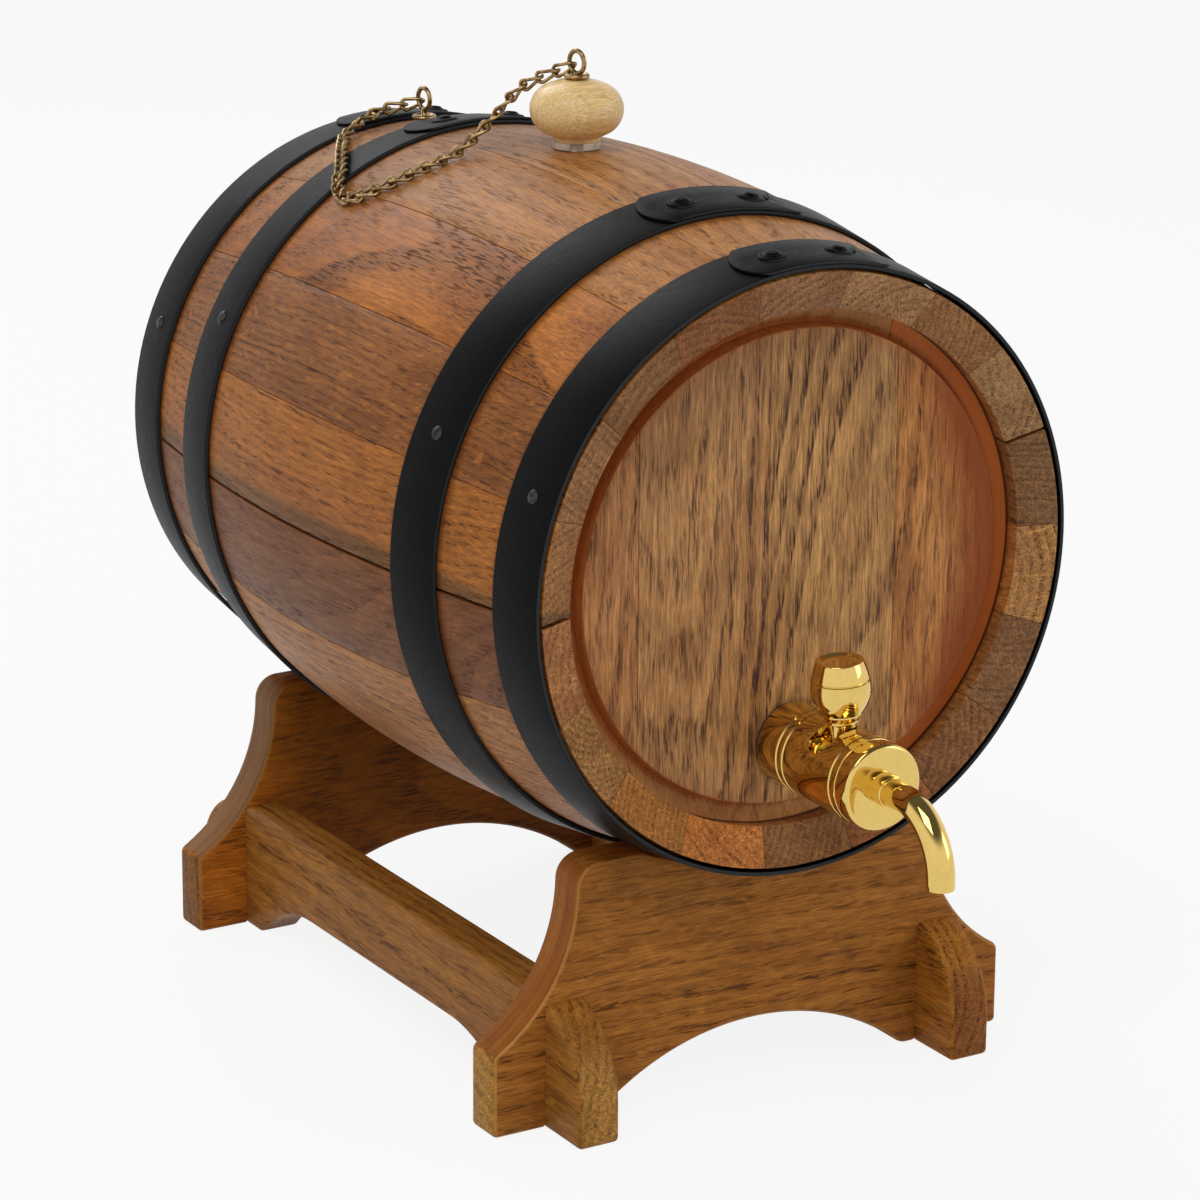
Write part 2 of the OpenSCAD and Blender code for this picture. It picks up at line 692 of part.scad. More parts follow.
module bung_knob() {
  color([0.84, 0.68, 0.45]) on_bung(knob_z) difference() {
    union() {
      translate([0, 0, bung_half]) rotate_extrude() bung_outline();
      cylinder(h = bung_half, r = bung_foot_r);
    }
    translate([0, 0, -1]) cylinder(h = spigot_len + 1.3, r = spigot_r + stud_play);
    translate([0, 0, bung_h - eye_screw]) eye_bore();
  }
}

module bung_plug() {
  notch_floor = bung_hole_r - 0.3;
  color([0.9, 0.87, 0.8]) on_bung(bung_z) difference() {
    union() {
      cylinder(h = bung_collar_h - 0.02, r = bung_collar_r);
      translate([0, 0, -bung_rest - stave_t - bung_reach])
        cylinder(h = bung_rest + stave_t + bung_reach + 0.1, r = bung_hole_r - bung_play);
      cylinder(h = bung_collar_h + spigot_len, r = spigot_r);
    }
    for (i = [0:3]) rotate([0, 0, notch_turn + 90 * i])
      translate([notch_floor, -notch_w / 2, 0]) cube([bung_collar_r, notch_w, 2 * bung_collar_h]);
  }
}

// ---- Eyes and chain ----

module eye_bore() { cylinder(h = eye_screw + 5, r = eye_wire / 2 + 0.25 + stud_play, $fn = 24); }

// Screw eye standing at the origin: screw, foot ring, neck and eye in the YZ plane.
module screw_eye(neck, turn) {
  r = eye_wire / 2;
  translate([0, 0, -eye_screw + 0.3]) cylinder(h = eye_screw + eye_wire + neck, r = r + 0.2, $fn = 24);
  translate([0, 0, r + 0.05]) rotate_extrude() translate([foot_ring_r - r, 0]) circle(r = r, $fn = 24);
  translate([0, 0, 0.05]) cylinder(h = eye_wire - 0.3, r = foot_ring_r - r);
  translate([0, 0, eye_wire + neck + eye_r]) rotate([0, 0, turn]) rotate([0, 90, 0])
    rotate_extrude() translate([eye_r, 0]) circle(r = r, $fn = 24);
}

module bung_eye() { color(old_brass) on_bung(knob_z + bung_h) screw_eye(0, bung_eye_turn); }
module anchor_eye() {
  color(old_brass) upon(0, anchor_foot, anchor_at) screw_eye(anchor_neck, anchor_turn);
}

function unit(v) = v / norm(v);
function ends(list, i) = list[max(0, min(len(list) - 1, i))];
// Place of a route point in the frame of the cask.
function over(p) = let (y = bung_at + p[1] * (anchor_at - bung_at))
  [p[0], y, axis_z + sqrt(pow(stave_r(y) + rest_lift + hoop_rise(y) + p[2], 2) - p[0] * p[0])];
// Smooth curve through the route's points.
function curve(a, b, c, d, t) = ((-a + 3 * b - 3 * c + d) * t * t * t + (2 * a - 5 * b + 4 * c - d) * t * t
  + (c - a) * t + 2 * b) / 2;
CURVE_STEPS = 10;

// An end link hangs on the limb of an eye that faces along the chain, some way under its middle.
HOOK_TURN = 25;
HOOK_PLAY = 0.3;
bung_ring = [0, bung_at, knob_z + bung_h + eye_wire + eye_r];
anchor_ring = [0, anchor_at, axis_z + anchor_foot + eye_wire + anchor_neck + eye_r];
function across(turn) = [cos(turn), sin(turn), 0];
function limb(ring, turn) = ring + eye_r * [-sin(turn) * cos(HOOK_TURN), cos(turn) * cos(HOOK_TURN), -sin(HOOK_TURN)];
function hung(hold, next) = hold + unit(next - hold) * (link_half - link_wire / 2 - eye_wire / 2 - HOOK_PLAY);
first_link = hung(limb(bung_ring, bung_eye_turn), over(route[0]));
last_link = hung(limb(anchor_ring, anchor_turn), over(route[len(route) - 1]));
places = concat([first_link], [for (p = route) over(p)], [last_link]);
path = concat([for (i = [0:len(places) - 2], k = [0:CURVE_STEPS - 1])
  curve(ends(places, i - 1), places[i], places[i + 1], ends(places, i + 2), k / CURVE_STEPS)], [last_link]);
runs = [for (i = 0, s = 0; i < len(path); s = s + norm(ends(path, i + 1) - path[i]), i = i + 1) s];
chain_len = runs[len(runs) - 1];
link_count = floor(chain_len / link_pitch) + 1;
step = chain_len / (link_count - 1);
function run_index(s, i = 0) = (i >= len(path) - 2 || runs[i + 1] >= s) ? i : run_index(s, i + 1);
function along(s) = let (i = run_index(s)) path[i] + (path[i + 1] - path[i]) * (s - runs[i]) / (runs[i + 1] - runs[i]);

LINK_RINGS = 12;
LINK_SIDES = 6;
// Middle of a link's wire: an oval, twisted evenly from end to end.
function link_mid(k) = let (
  bow = floor(k / (LINK_RINGS / 2)), a = 180 * (k % (LINK_RINGS / 2)) / (LINK_RINGS / 2 - 1) - 90 + 180 * bow,
  s = (bow == 0 ? 1 : -1) * (link_half - link_side) + link_side * cos(a), w = link_side * sin(a),
  t = link_twist / 2 * s / link_half) [s, w * cos(t), w * sin(t)];

module link() {
  mids = [for (k = [0:LINK_RINGS - 1]) link_mid(k)];
  points = [for (k = [0:LINK_RINGS - 1]) let (
    p = mids[k], t = unit(mids[(k + 1) % LINK_RINGS] - mids[(k + LINK_RINGS - 1) % LINK_RINGS]),
    n = unit(p - (p * t) * t), b = cross(t, n)) each
    [for (j = [0:LINK_SIDES - 1]) p + link_wire / 2 * (cos(60 * j) * n + sin(60 * j) * b)]];
  function at(k, j) = (k % LINK_RINGS) * LINK_SIDES + j % LINK_SIDES;
  polyhedron(points, [for (k = [0:LINK_RINGS - 1], j = [0:LINK_SIDES - 1]) each
    [[at(k, j), at(k, j + 1), at(k + 1, j + 1)], [at(k, j), at(k + 1, j + 1), at(k + 1, j)]]]);
}

// Frame of link i before it rolls: its place, along the chain, across it and away from the cask.
function link_frame(i) = let (
  p = along(i * step), t = unit(along(min(chain_len, i * step + 1)) - along(max(0, i * step - 1))),
  up = unit([p[0], 0, p[2] - axis_z]), n = unit(up - (up * t) * t)) [p, t, cross(n, t), n];
// Roll that turns a link's end across the eye which it hangs on, eased out over the next links.
function wrapped(a) = a - 180 * round(a / 180);
function end_roll(f, side, eye) = wrapped(atan2(eye * f[3], eye * f[2]) + side * link_twist / 2);
first_roll = end_roll(link_frame(0), 1, across(bung_eye_turn));
last_roll = end_roll(link_frame(link_count - 1), -1, across(anchor_turn));
EASED_LINKS = 6;
function fade(i) = max(0, 1 - i / EASED_LINKS);
function roll(i) = first_roll * fade(i) + last_roll * fade(link_count - 1 - i);

module chain() {
  color(old_brass) for (i = [0:link_count - 1]) {
    f = link_frame(i);
    multmatrix([for (k = [0:2]) [f[1][k], f[2][k], f[3][k], f[0][k]]]) rotate([roll(i), 0, 0]) link();
  }
}

// ---- Stand ----

module board(rear) {
  outer = 2 * board_half;
  flank_x = waist_half + flank_r;
  flank_z = side_h + sqrt(max(0, pow(flank_r, 2) - pow(flank_x - board_half, 2)));
  color(stand_oak) at_end(rear) difference() {
    translate([0, board_at + stand_t, 0]) rotate([90, 0, 0]) linear_extrude(stand_t) difference() {
      translate([-board_half, 0]) square([outer, board_h]);
      translate([0, axis_z]) circle(r = cradle_r, $fn = 180);
      translate([0, arch_h - arch_r]) circle(r = arch_r, $fn = 180);
      for (side = [-1, 1]) scale([side, 1]) {
        translate([flank_x, flank_z]) circle(r = flank_r);
        translate([waist_half, flank_z]) square([outer, board_h]);
        difference() {
          translate([waist_half - tip_r, board_h - tip_r]) square(2 * tip_r);
          translate([waist_half - tip_r, board_h - tip_r]) circle(r = tip_r);
        }
      }
    }
    for (side = [-1, 1]) translate([side * (rail_in + stand_t / 2), board_at + stand_t / 2, 0])
      cube([stand_t + 2 * halving_play, 2 * stand_t, 2 * halving_h], center = true);
  }
}

module board_front() { board(false); }
module board_rear() { board(true); }

module rail(side) {
  inner = rail_len - 2 * rail_arch_x;
  color(stand_oak) translate([side * (rail_in + stand_t / 2), rail_setback, 0]) difference() {
    translate([-stand_t / 2, 0, 0]) rotate([90, 0, 90]) linear_extrude(stand_t) difference() {
      square([rail_len, rail_h]);
      for (end = [0, 1]) translate([end * rail_len, 0]) scale([1 - 2 * end, 1]) {
        difference() {
          translate([-1, rail_foot]) square(rail_end_r + 1);
          translate([rail_end_r, rail_foot]) circle(r = rail_end_r);
        }
        translate([rail_arch_x, rail_arch_h - rail_arch_r]) circle(r = rail_arch_r);
      }
      translate([rail_arch_x, -1]) square([inner, rail_arch_h + 1]);
    }
    for (y = [board_at, cask_len - board_at - stand_t])
      translate([-stand_t, y - rail_setback - halving_play, halving_h])
        cube([2 * stand_t, stand_t + 2 * halving_play, rail_h]);
  }
}

module rail_left() { rail(-1); }
module rail_right() { rail(1); }

translate([0, -origin_y, 0]) {
  for (i = [1:stave_count]) stave(i);
  for (i = [1:head_boards]) head_board(i, false);
  for (i = [1:head_boards]) head_board(i, true);
  for (i = [1:4]) hoop(i);
  splice_plates();
  splice_rivets();
  hoop_nails();
  anchor_eye();
  tap_body();
  tap_cap();
  tap_spout();
  tap_washer();
  tap_seal();
  tap_nut();
  valve_drum();
  lever_stem();
  lever_knob();
  bung_knob();
  bung_plug();
  bung_eye();
  chain();
  board_front();
  board_rear();
  rail_left();
  rail_right();
}
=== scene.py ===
"""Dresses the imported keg: oak staves and heads, black hoops, a gilt tap, the bung on its chain, the stand.

The modelling functions count in millimetres, with Y from the front ends of the staves, and spot() turns that
into the frame's metres. The marks on staves, heads and boards, the stage and what a user would change are in
metres. Turns are in degrees, from the top of the cask towards its right side.
"""

import json
import math
import random

import bmesh
import bpy
import numpy as np
from mathutils import Matrix, Vector

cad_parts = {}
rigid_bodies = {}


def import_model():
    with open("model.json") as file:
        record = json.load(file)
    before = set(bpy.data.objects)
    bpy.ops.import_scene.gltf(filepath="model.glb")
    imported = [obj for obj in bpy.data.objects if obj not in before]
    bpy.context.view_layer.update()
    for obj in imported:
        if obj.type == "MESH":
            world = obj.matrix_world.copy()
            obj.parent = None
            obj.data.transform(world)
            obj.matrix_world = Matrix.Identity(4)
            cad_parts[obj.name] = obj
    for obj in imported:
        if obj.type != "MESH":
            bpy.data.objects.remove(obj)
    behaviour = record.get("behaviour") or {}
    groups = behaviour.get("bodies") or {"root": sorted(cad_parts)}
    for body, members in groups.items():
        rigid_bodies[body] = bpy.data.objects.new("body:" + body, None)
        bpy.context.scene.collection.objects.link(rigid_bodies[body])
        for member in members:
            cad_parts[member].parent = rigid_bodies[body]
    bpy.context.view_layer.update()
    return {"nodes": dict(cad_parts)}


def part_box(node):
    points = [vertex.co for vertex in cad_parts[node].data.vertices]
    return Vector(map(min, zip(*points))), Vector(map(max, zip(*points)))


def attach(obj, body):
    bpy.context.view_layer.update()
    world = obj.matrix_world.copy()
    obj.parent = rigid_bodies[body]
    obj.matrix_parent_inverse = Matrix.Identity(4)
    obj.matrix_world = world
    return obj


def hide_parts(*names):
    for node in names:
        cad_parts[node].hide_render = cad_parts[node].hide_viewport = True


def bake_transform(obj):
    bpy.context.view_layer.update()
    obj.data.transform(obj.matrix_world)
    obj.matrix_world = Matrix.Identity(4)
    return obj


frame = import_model()

bl_info = {
    "name": "Oak keg on a cradle",
    "version": (1, 0, 0),
    "blender": (4, 5, 0),
    "location": "View3D > Sidebar > Keg",
    "description": "Builds the keg's pieces, their finishes and the stage round the packed frame",
    "category": "Object",
}

FRONT = 92.9
CASK_LEN = 260
AXIS_Z = 168.3
END_R = 90
BILGE_R = 103
TAPER_LEN = 47
TAPER = math.radians(8.37734)
BEND_R = 569.696
STAVE_T = 12.5
FIRST_JOINT = -11.5
PITCH = 20
CROZE = (10.85, 15.65)
CROZE_DEPTH = 3
FIELD_DEPTH = 7.6
HEAD_JOINTS = (-53.5, -9, 35.5)
HEAD_GAP = 0.07
END_HOOP = (-0.18, 21.0)
END_HOOP_LIFT = 0.9
INNER_HOOP = (48.3, 69.6)
HOOP_T = 1.3
HOOP_SEAT = 0.06
PLATE_T = 0.9

RIGHT = Vector((1, 0, 0))
BACK = Vector((0, 1, 0))
UP = Vector((0, 0, 1))


# ---- Places on the keg ----

def spot(x, y, z):
    return Vector((x, y - FRONT, z)) / 1000


def cask_radius(y):
    a = max(0, min(y, CASK_LEN - y))
    if a < TAPER_LEN:
        return END_R + a * math.tan(TAPER)
    return BILGE_R - BEND_R + math.sqrt(BEND_R ** 2 - (CASK_LEN / 2 - a) ** 2)


def out_at(turn):
    a = math.radians(turn)
    return Vector((math.sin(a), 0, math.cos(a)))


def round_from(middle, turn, radius, along=0):
    """The point at a turn and a radius round a middle, and along the cask from it."""
    return middle + out_at(turn) * (radius / 1000) + Vector((0, along / 1000, 0))


def turned(turn):
    return Matrix.Rotation(math.radians(turn), 4, "Y")


def cask_end(rear):
    """The middle of an end of the cask, and the way into the cask from it."""
    return spot(0, CASK_LEN if rear else 0, AXIS_Z), Vector((0, -1 if rear else 1, 0))


def hoop_edges(kind):
    """(along, radius inside) of a front hoop's two edges."""
    near, far = END_HOOP if kind == "end" else INNER_HOOP
    bow = (INNER_HOOP[1] - INNER_HOOP[0]) ** 2 / (8 * BEND_R) + HOOP_SEAT
    near_r = END_R + END_HOOP_LIFT if kind == "end" else cask_radius(near) + bow
    return (near, near_r), (far, cask_radius(far) + bow)


CASK_MID = spot(0, 0, AXIS_Z)


# ---- Modelling by hand ----

def alone(*objs):
    """Leaves edit mode and selects only these objects."""
    if bpy.context.mode != "OBJECT":
        bpy.ops.object.mode_set(mode="OBJECT")
    bpy.ops.object.select_all(action="DESELECT")
    for o in objs:
        o.select_set(True)
    bpy.context.view_layer.objects.active = objs[0] if objs else None


def edit(obj):
    alone(obj)
    bpy.ops.object.mode_set(mode="EDIT")
    bpy.ops.mesh.select_all(action="SELECT")


def named(name):
    obj = bpy.context.object
    obj.name = obj.data.name = name
    return obj


def placed():
    """Keeps the selected object's place in its mesh."""
    bpy.ops.object.transform_apply(location=True, rotation=True, scale=True)


def outline(name, points):
    """Draws a run of edges by extruding one vertex from point to point, and stays in edit mode."""
    alone()
    bpy.ops.mesh.primitive_plane_add(size=0.001, location=points[0])
    obj = named(name)
    placed()
    edit(obj)
    bpy.ops.mesh.merge(type="CENTER")
    for a, b in zip(points, points[1:]):
        bpy.ops.mesh.extrude_region_move(TRANSFORM_OT_translate={"value": b - a})
    bpy.ops.mesh.select_all(action="SELECT")
    return obj


def closed_up(obj):
    """Merges what meets and turns all faces outwards."""
    edit(obj)
    bpy.ops.mesh.remove_doubles(threshold=2e-6)
    bpy.ops.mesh.normals_make_consistent(inside=False)
    alone(obj)
    return obj


def smooth(obj, angle=30):
    alone(obj)
    bpy.ops.object.shade_smooth_by_angle(angle=math.radians(angle))


def lathe(name, profile, centre, axis, side, steps, angle=None, loop=False):
    """Turns a profile of (radius, along) round an axis; a loop is a profile that closes on itself."""
    obj = outline(name, [centre + side * (r / 1000) + axis * (a / 1000) for r, a in profile])
    if loop:
        bpy.ops.mesh.edge_face_add()
        bpy.ops.mesh.delete(type="ONLY_FACE")
        bpy.ops.mesh.select_all(action="SELECT")
    bpy.ops.mesh.spin(steps=steps, angle=math.tau, center=centre, axis=axis, use_auto_merge=True)
    closed_up(obj)
    if angle:
        smooth(obj, angle)
    return obj


def cut(obj, place, keep):
    """Cuts an object at a place, keeps the side that keep points to and closes the cut."""
    edit(obj)
    bpy.ops.mesh.bisect(plane_co=place, plane_no=keep, use_fill=True, clear_inner=True)


def apply(obj, kind, name, **settings):
    """Adds a modifier and applies it."""
    alone(obj)
    modifier = obj.modifiers.new(name, kind)
    for key, value in settings.items():
        setattr(modifier, key, value)
    bpy.ops.object.modifier_apply(modifier=name)


def ease(obj, width, angle=50, segments=2, clamp=True):
    apply(obj, "BEVEL", "Eased edges", width=width / 1000, segments=segments, limit_method="ANGLE",
          angle_limit=math.radians(angle), use_clamp_overlap=clamp)


def drilled(obj, name, *cutters):
    """Cuts other objects out of one and removes them."""
    for cutter in cutters:
        apply(obj, "BOOLEAN", name, operation="DIFFERENCE", object=cutter, solver="EXACT")
        bpy.data.objects.remove(cutter)


def twin(first, name):
    """A copy of an object with its own mesh."""
    obj = first.copy()
    obj.data = first.data.copy()
    obj.name = obj.data.name = name
    bpy.context.scene.collection.objects.link(obj)
    return obj


def carried_copy(node, name):
    """A merged copy of a CAD node, to be given its eased edges."""
    obj = twin(frame["nodes"][node], name)
    for key in [k for k in obj.keys() if k.startswith("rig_")]:
        del obj[key]
    obj.parent = None
    obj.data.materials.clear()
    obj.hide_render = obj.hide_viewport = False
    edit(obj)
    bpy.ops.mesh.remove_doubles(threshold=2e-6)
    alone(obj)
    return obj


def settled(obj, move):
    """Puts a piece at a place in the frame and keeps the place in its mesh."""
    alone(obj)
    obj.matrix_world = move
    placed()
    return obj


def repeated(first, moves):
    """Copies a piece, modelled about the origin, to each place and joins the copies into one piece."""
    name = first.name
    copies = [settled(twin(first, name), move) for move in moves]
    bpy.data.objects.remove(first)
    alone(*copies)
    bpy.ops.object.join()
    return named(name)


def painted(obj, finish):
    obj.data.materials.clear()
    obj.data.materials.append(finish)


def stand_for(obj, finish, node):
    """Gives a finished piece its material and hides the CAD node it stands for."""
    alone()
    painted(obj, finish)
    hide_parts(node)


def dress(obj, body, finish, node):
    """As stand_for, for a piece that rides on a body."""
    stand_for(obj, finish, node)
    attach(obj, body)


def keep_map(obj, place):
    """Keeps a place in the board, in metres, with each point of a piece."""
    keep = obj.data.attributes.new("board", "FLOAT_VECTOR", "POINT")
    for v, d in zip(obj.data.vertices, keep.data):
        d.vector = place(v.co)


def board_map(obj, across, along, depth):
    """Maps a straight board: across the grain, along it, and through the thickness."""
    keep_map(obj, lambda co: (co.dot(across), co.dot(along), co.dot(depth)))


def stave_map(obj, middle):
    """As board_map, for a stave that bends round the cask at a turn."""

    def place(co):
        p = co - CASK_MID
        r = math.hypot(p.x, p.z)
        a = (math.degrees(math.atan2(p.x, p.z)) - middle + 180) % 360 - 180
        return math.radians(a) * r, p.y, r - 0.095

    keep_map(obj, place)


# ---- Colours ----

def srgb(r, g, b):
    return tuple((c / 255 / 12.92) if c / 255 <= 0.04045 else ((c / 255 + 0.055) / 1.055) ** 2.4
                 for c in (r, g, b)) + (1.0,)


def tone(base, *factors):
    """A colour times one factor, or times a factor each for red, green and blue."""
    return tuple(c * k for c, k in zip(base, factors if len(factors) == 3 else factors * 3)) + (1,)


# ---- Shader nodes ----

class Wire:
    """A shader node's output: arithmetic with it adds Math nodes to its tree."""

    def __init__(self, socket):
        self.socket = socket
        self.tree = socket.id_data

    def __add__(self, other):
        return calc("ADD", self, other)

    def __sub__(self, other):
        return calc("SUBTRACT", self, other)

    def __mul__(self, other):
        return calc("MULTIPLY", self, other)

    def __truediv__(self, other):
        return calc("DIVIDE", self, other)

    def __abs__(self):
        return calc("ABSOLUTE", self)


def feed(socket, value):
    if isinstance(value, Wire):
        value.tree.links.new(value.socket, socket)
    elif value is not None:
        socket.default_value = value


def feed_all(made, **values):
    """Feeds a node's inputs by name, with _ for a space."""
    for key, value in values.items():
        feed(made.inputs[key.replace("_", " ")], value)


def node(kind, *values, tree=None, **settings):
    """Adds a shader node and feeds its first inputs, in the tree of the wires among the values."""
    tree = tree or next(v.tree for v in values if isinstance(v, Wire))
    made = tree.nodes.new("ShaderNode" + kind)
    for key, value in settings.items():
        setattr(made, key, value)
    for socket, value in zip(made.inputs, values):
        feed(socket, value)
    return made


def first_of(made, output=0):
    return Wire(made.outputs[output])


def calc(operation, *values):
    return first_of(node("Math", *values, operation=operation))


def root(value):
    return calc("SQRT", value)


def vector_calc(operation, *vectors, scale=None):
    made = node("VectorMath", *vectors, operation=operation)
    if scale is not None:
        feed(made.inputs["Scale"], scale)
    return first_of(made)


def split(vector):
    return [Wire(s) for s in node("SeparateXYZ", vector).outputs]


def stretch(vector, x, y, z):
    return first_of(node("Mapping", vector, None, None, (x, y, z)))


def noise(vector, scale=1.0, detail=2.0, roughness=0.5, output="Fac"):
    return first_of(node("TexNoise", vector, None, scale, detail, roughness), output)


def span(value, low, high, to_low=0.0, to_high=1.0):
    """A smooth ramp, level under low and over high."""
    return first_of(node("MapRange", value, low, high, to_low, to_high, interpolation_type="SMOOTHSTEP"))


def fall(value, low, high):
    return span(value, low, high, 1.0, 0.0)


def mixed(factor, a, b, how="MIX"):
    """Mixes two colours, which are the Mix node's seventh and eighth inputs and its third output."""
    return first_of(node("Mix", factor, *[None] * 5, a, b, data_type="RGBA", blend_type=how), 2)


def dyed(colour, factor, hue):
    """A colour multiplied by a hue as far as the factor says."""
    return mixed(factor, colour, mixed(1.0, colour, hue, "MULTIPLY"))


def object_place(tree):
    return first_of(node("TexCoord", tree=tree), "Object")


def board_place(tree):
    """The place in its board that each point keeps."""
    return first_of(node("Attribute", tree=tree, attribute_name="board"), "Vector")


def facing(tree, axis):
    """How squarely a face looks along an axis of the frame."""
    return abs(split(first_of(node("NewGeometry", tree=tree), "Normal"))[axis])


def end_mask(tree, axis, square):
    """1 where a face looks along the grain, so that it shows end grain: square is how squarely it must."""
    return span(facing(tree, axis), square - 0.12, square + 0.1)


# ---- Shared effects ----

def new_group(name, outputs, **inputs):
    """A node group: an input without a default is a vector, and the output Colour is a colour."""
    tree = bpy.data.node_groups.new(name, "ShaderNodeTree")
    kinds = {type(None): "Vector", float: "Float", tuple: "Color"}
    for key, default in inputs.items():
        socket = tree.interface.new_socket(name=key.replace("_", " "), in_out="INPUT",
                                           socket_type="NodeSocket" + kinds[type(default)])
        if default is not None:
            socket.default_value = default
    for label in outputs:
        tree.interface.new_socket(name=label, in_out="OUTPUT",
                                  socket_type="NodeSocketColor" if label == "Colour" else "NodeSocketFloat")
    given = tree.nodes.new("NodeGroupInput")
    return {s.name: Wire(s) for s in given.outputs}, tree.nodes.new("NodeGroupOutput")


def group(tree, name, **inputs):
    made = node("Group", tree=tree, node_tree=bpy.data.node_groups[name])
    feed_all(made, **inputs)
    return {s.name: Wire(s) for s in made.outputs}


def make_oak_group():
    """Oak by its growth: rings round a pith, pores in the spring wood, rays from the pith, and stained streaks."""
    given, out = new_group(
        "Oak grain", ("Colour", "Roughness", "Height"), Board=None, Seed=0.0, Light=(0.5, 0.3, 0.15, 1),
        Dark=(0.3, 0.15, 0.07, 1), Pore=(0.1, 0.04, 0.02, 1), Ray=(0.6, 0.4, 0.2, 1), Pith_X=-30.0, Pith_Z=-60.0,
        Lean=0.02, Ring_Width=2.2, Rings=0.5, Streaks=0.5, Pores=0.8, Dashes=0.3, Rays=0.3, Blotches=0.4,
        Waver=5.0)
    place = vector_calc("SCALE", given["Board"], scale=1000)
    seeds = first_of(node("CombineXYZ", *(given["Seed"] * step for step in (37.1, 171.7, 53.3))))
    moved = vector_calc("ADD", place, seeds)
    drift = noise(stretch(moved, 0.035, 0.009, 0.035), 1, 3, 0.55, "Color")
    sway = vector_calc("SCALE", vector_calc("SUBTRACT", drift, (0.5, 0.5, 0.5)), scale=given["Waver"])
    wavy = vector_calc("ADD", moved, sway)

    across, along, depth = split(place)
    sway_across, _, sway_depth = split(sway)
    x = across + sway_across - given["Pith X"] + along * given["Lean"]
    z = depth + sway_depth - given["Pith Z"] + along * (given["Lean"] * 1.3)
    radius = root(x * x + z * z)
    count = radius / given["Ring Width"]
    within = calc("FRACT", count)
    year = first_of(node("TexWhiteNoise", None, calc("FLOOR", count) + given["Seed"], noise_dimensions="1D"))
    spring = span(within, 0.0, 0.1) * fall(within, 0.25, 0.75) * (year * 0.7 + 0.3)

    def drawn_out(fine, long, detail, roughness, low, high):
        """Noise drawn out along the grain."""
        return span(noise(stretch(wavy, fine, long, fine), 1, detail, roughness), low, high)

    pores = drawn_out(1.8, 0.13, 1.5, 0.5, 0.53, 0.62) * (spring * 0.75 + 0.25)
    dashes = drawn_out(0.85, 0.075, 2, 0.5, 0.54, 0.63) * (spring * 0.7 + 0.3)
    streak = drawn_out(0.5, 0.014, 5, 0.65, 0.4, 0.62)
    fibre = drawn_out(1.9, 0.13, 4, 0.7, 0.3, 0.7)
    blotch = drawn_out(0.07, 0.03, 4, 0.6, 0.42, 0.62)
    pith_off = root(given["Pith X"] * given["Pith X"] + given["Pith Z"] * given["Pith Z"])
    ray_place = first_of(node("CombineXYZ", calc("ARCTAN2", x, z) * (pith_off * 1.5),
                              (along + given["Seed"]) * 0.16, radius * 0.09))
    ray = span(noise(ray_place, 1, 1.5), 0.6, 0.72)

    colour = mixed(streak * given["Streaks"], given["Light"], given["Dark"])
    colour = mixed(spring * given["Rings"], colour, given["Dark"])
    colour = dyed(colour, blotch * given["Blotches"], (0.72, 0.66, 0.62, 1))
    colour = mixed(pores * given["Pores"], colour, given["Pore"])
    colour = mixed(dashes * given["Dashes"], colour, given["Pore"])
    colour = mixed(ray * given["Rays"], colour, given["Ray"])
    tint = fibre * 0.52 + 0.74
    grey = first_of(node("CombineColor", tint, tint, tint))
    feed_all(out, Colour=mixed(1.0, colour, grey, "MULTIPLY"), Roughness=fibre * 0.16 + (pores * 0.25 + 0.36),
             Height=fibre * 0.35 - pores - spring * 0.25)


def make_band_group():
    """Painted shade on the staves beside the hoops' edges."""
    given, out = new_group("Stain by the hoops", ("Mask",), Place=None, Reach=3.5)
    middle = CASK_LEN / 2
    along = abs(split(given["Place"])[1] * 1000 - (middle - FRONT))
    reach = given["Reach"] * (noise(given["Place"], 90, 3, 0.6) * 1.6 + 0.2)
    mask = None
    for edge in (END_HOOP[1], *INNER_HOOP):
        near = fall(abs(along - (middle - edge)) / reach, 0.0, 1.0)
        mask = calc("MAXIMUM", mask, near) if mask else near
    feed_all(out, Mask=mask)


def make_metal_group():
    """Dirt in patches, an uneven gloss and a fine uneven surface, for paint, plating and small plain pieces."""
    given, out = new_group(
        "Worn metal", ("Colour", "Roughness", "Height"), Place=None, Clean=(0.5, 0.4, 0.2, 1),
        Dirt=(0.05, 0.03, 0.02, 1), Dirty=0.5, Grain=900.0, Smooth=0.3, Rough=0.5)
    patch = noise(given["Place"], 420, 4, 0.6)
    dirt = span(patch, 0.42, 0.62) * given["Dirty"]
    feed_all(out, Colour=mixed(dirt, given["Clean"], given["Dirt"]),
             Roughness=patch * (given["Rough"] - given["Smooth"]) + given["Smooth"],
             Height=noise(given["Place"], given["Grain"]))


# ---- Finishes ----

def new_finish(name):
    finish = bpy.data.materials.new(name)
    finish.use_nodes = True
    return finish, finish.node_tree, finish.node_tree.nodes["Principled BSDF"]


def surface(shader, colour, effect, strength, distance, **values):
    """Feeds a shader its colour, an effect's roughness and relief, and plain values."""
    relief = node("Bump", tree=colour.tree)
    feed_all(relief, Strength=strength, Distance=distance, Height=effect["Height"])
    feed_all(shader, Base_Color=colour, Roughness=effect["Roughness"], Normal=first_of(relief), **values)


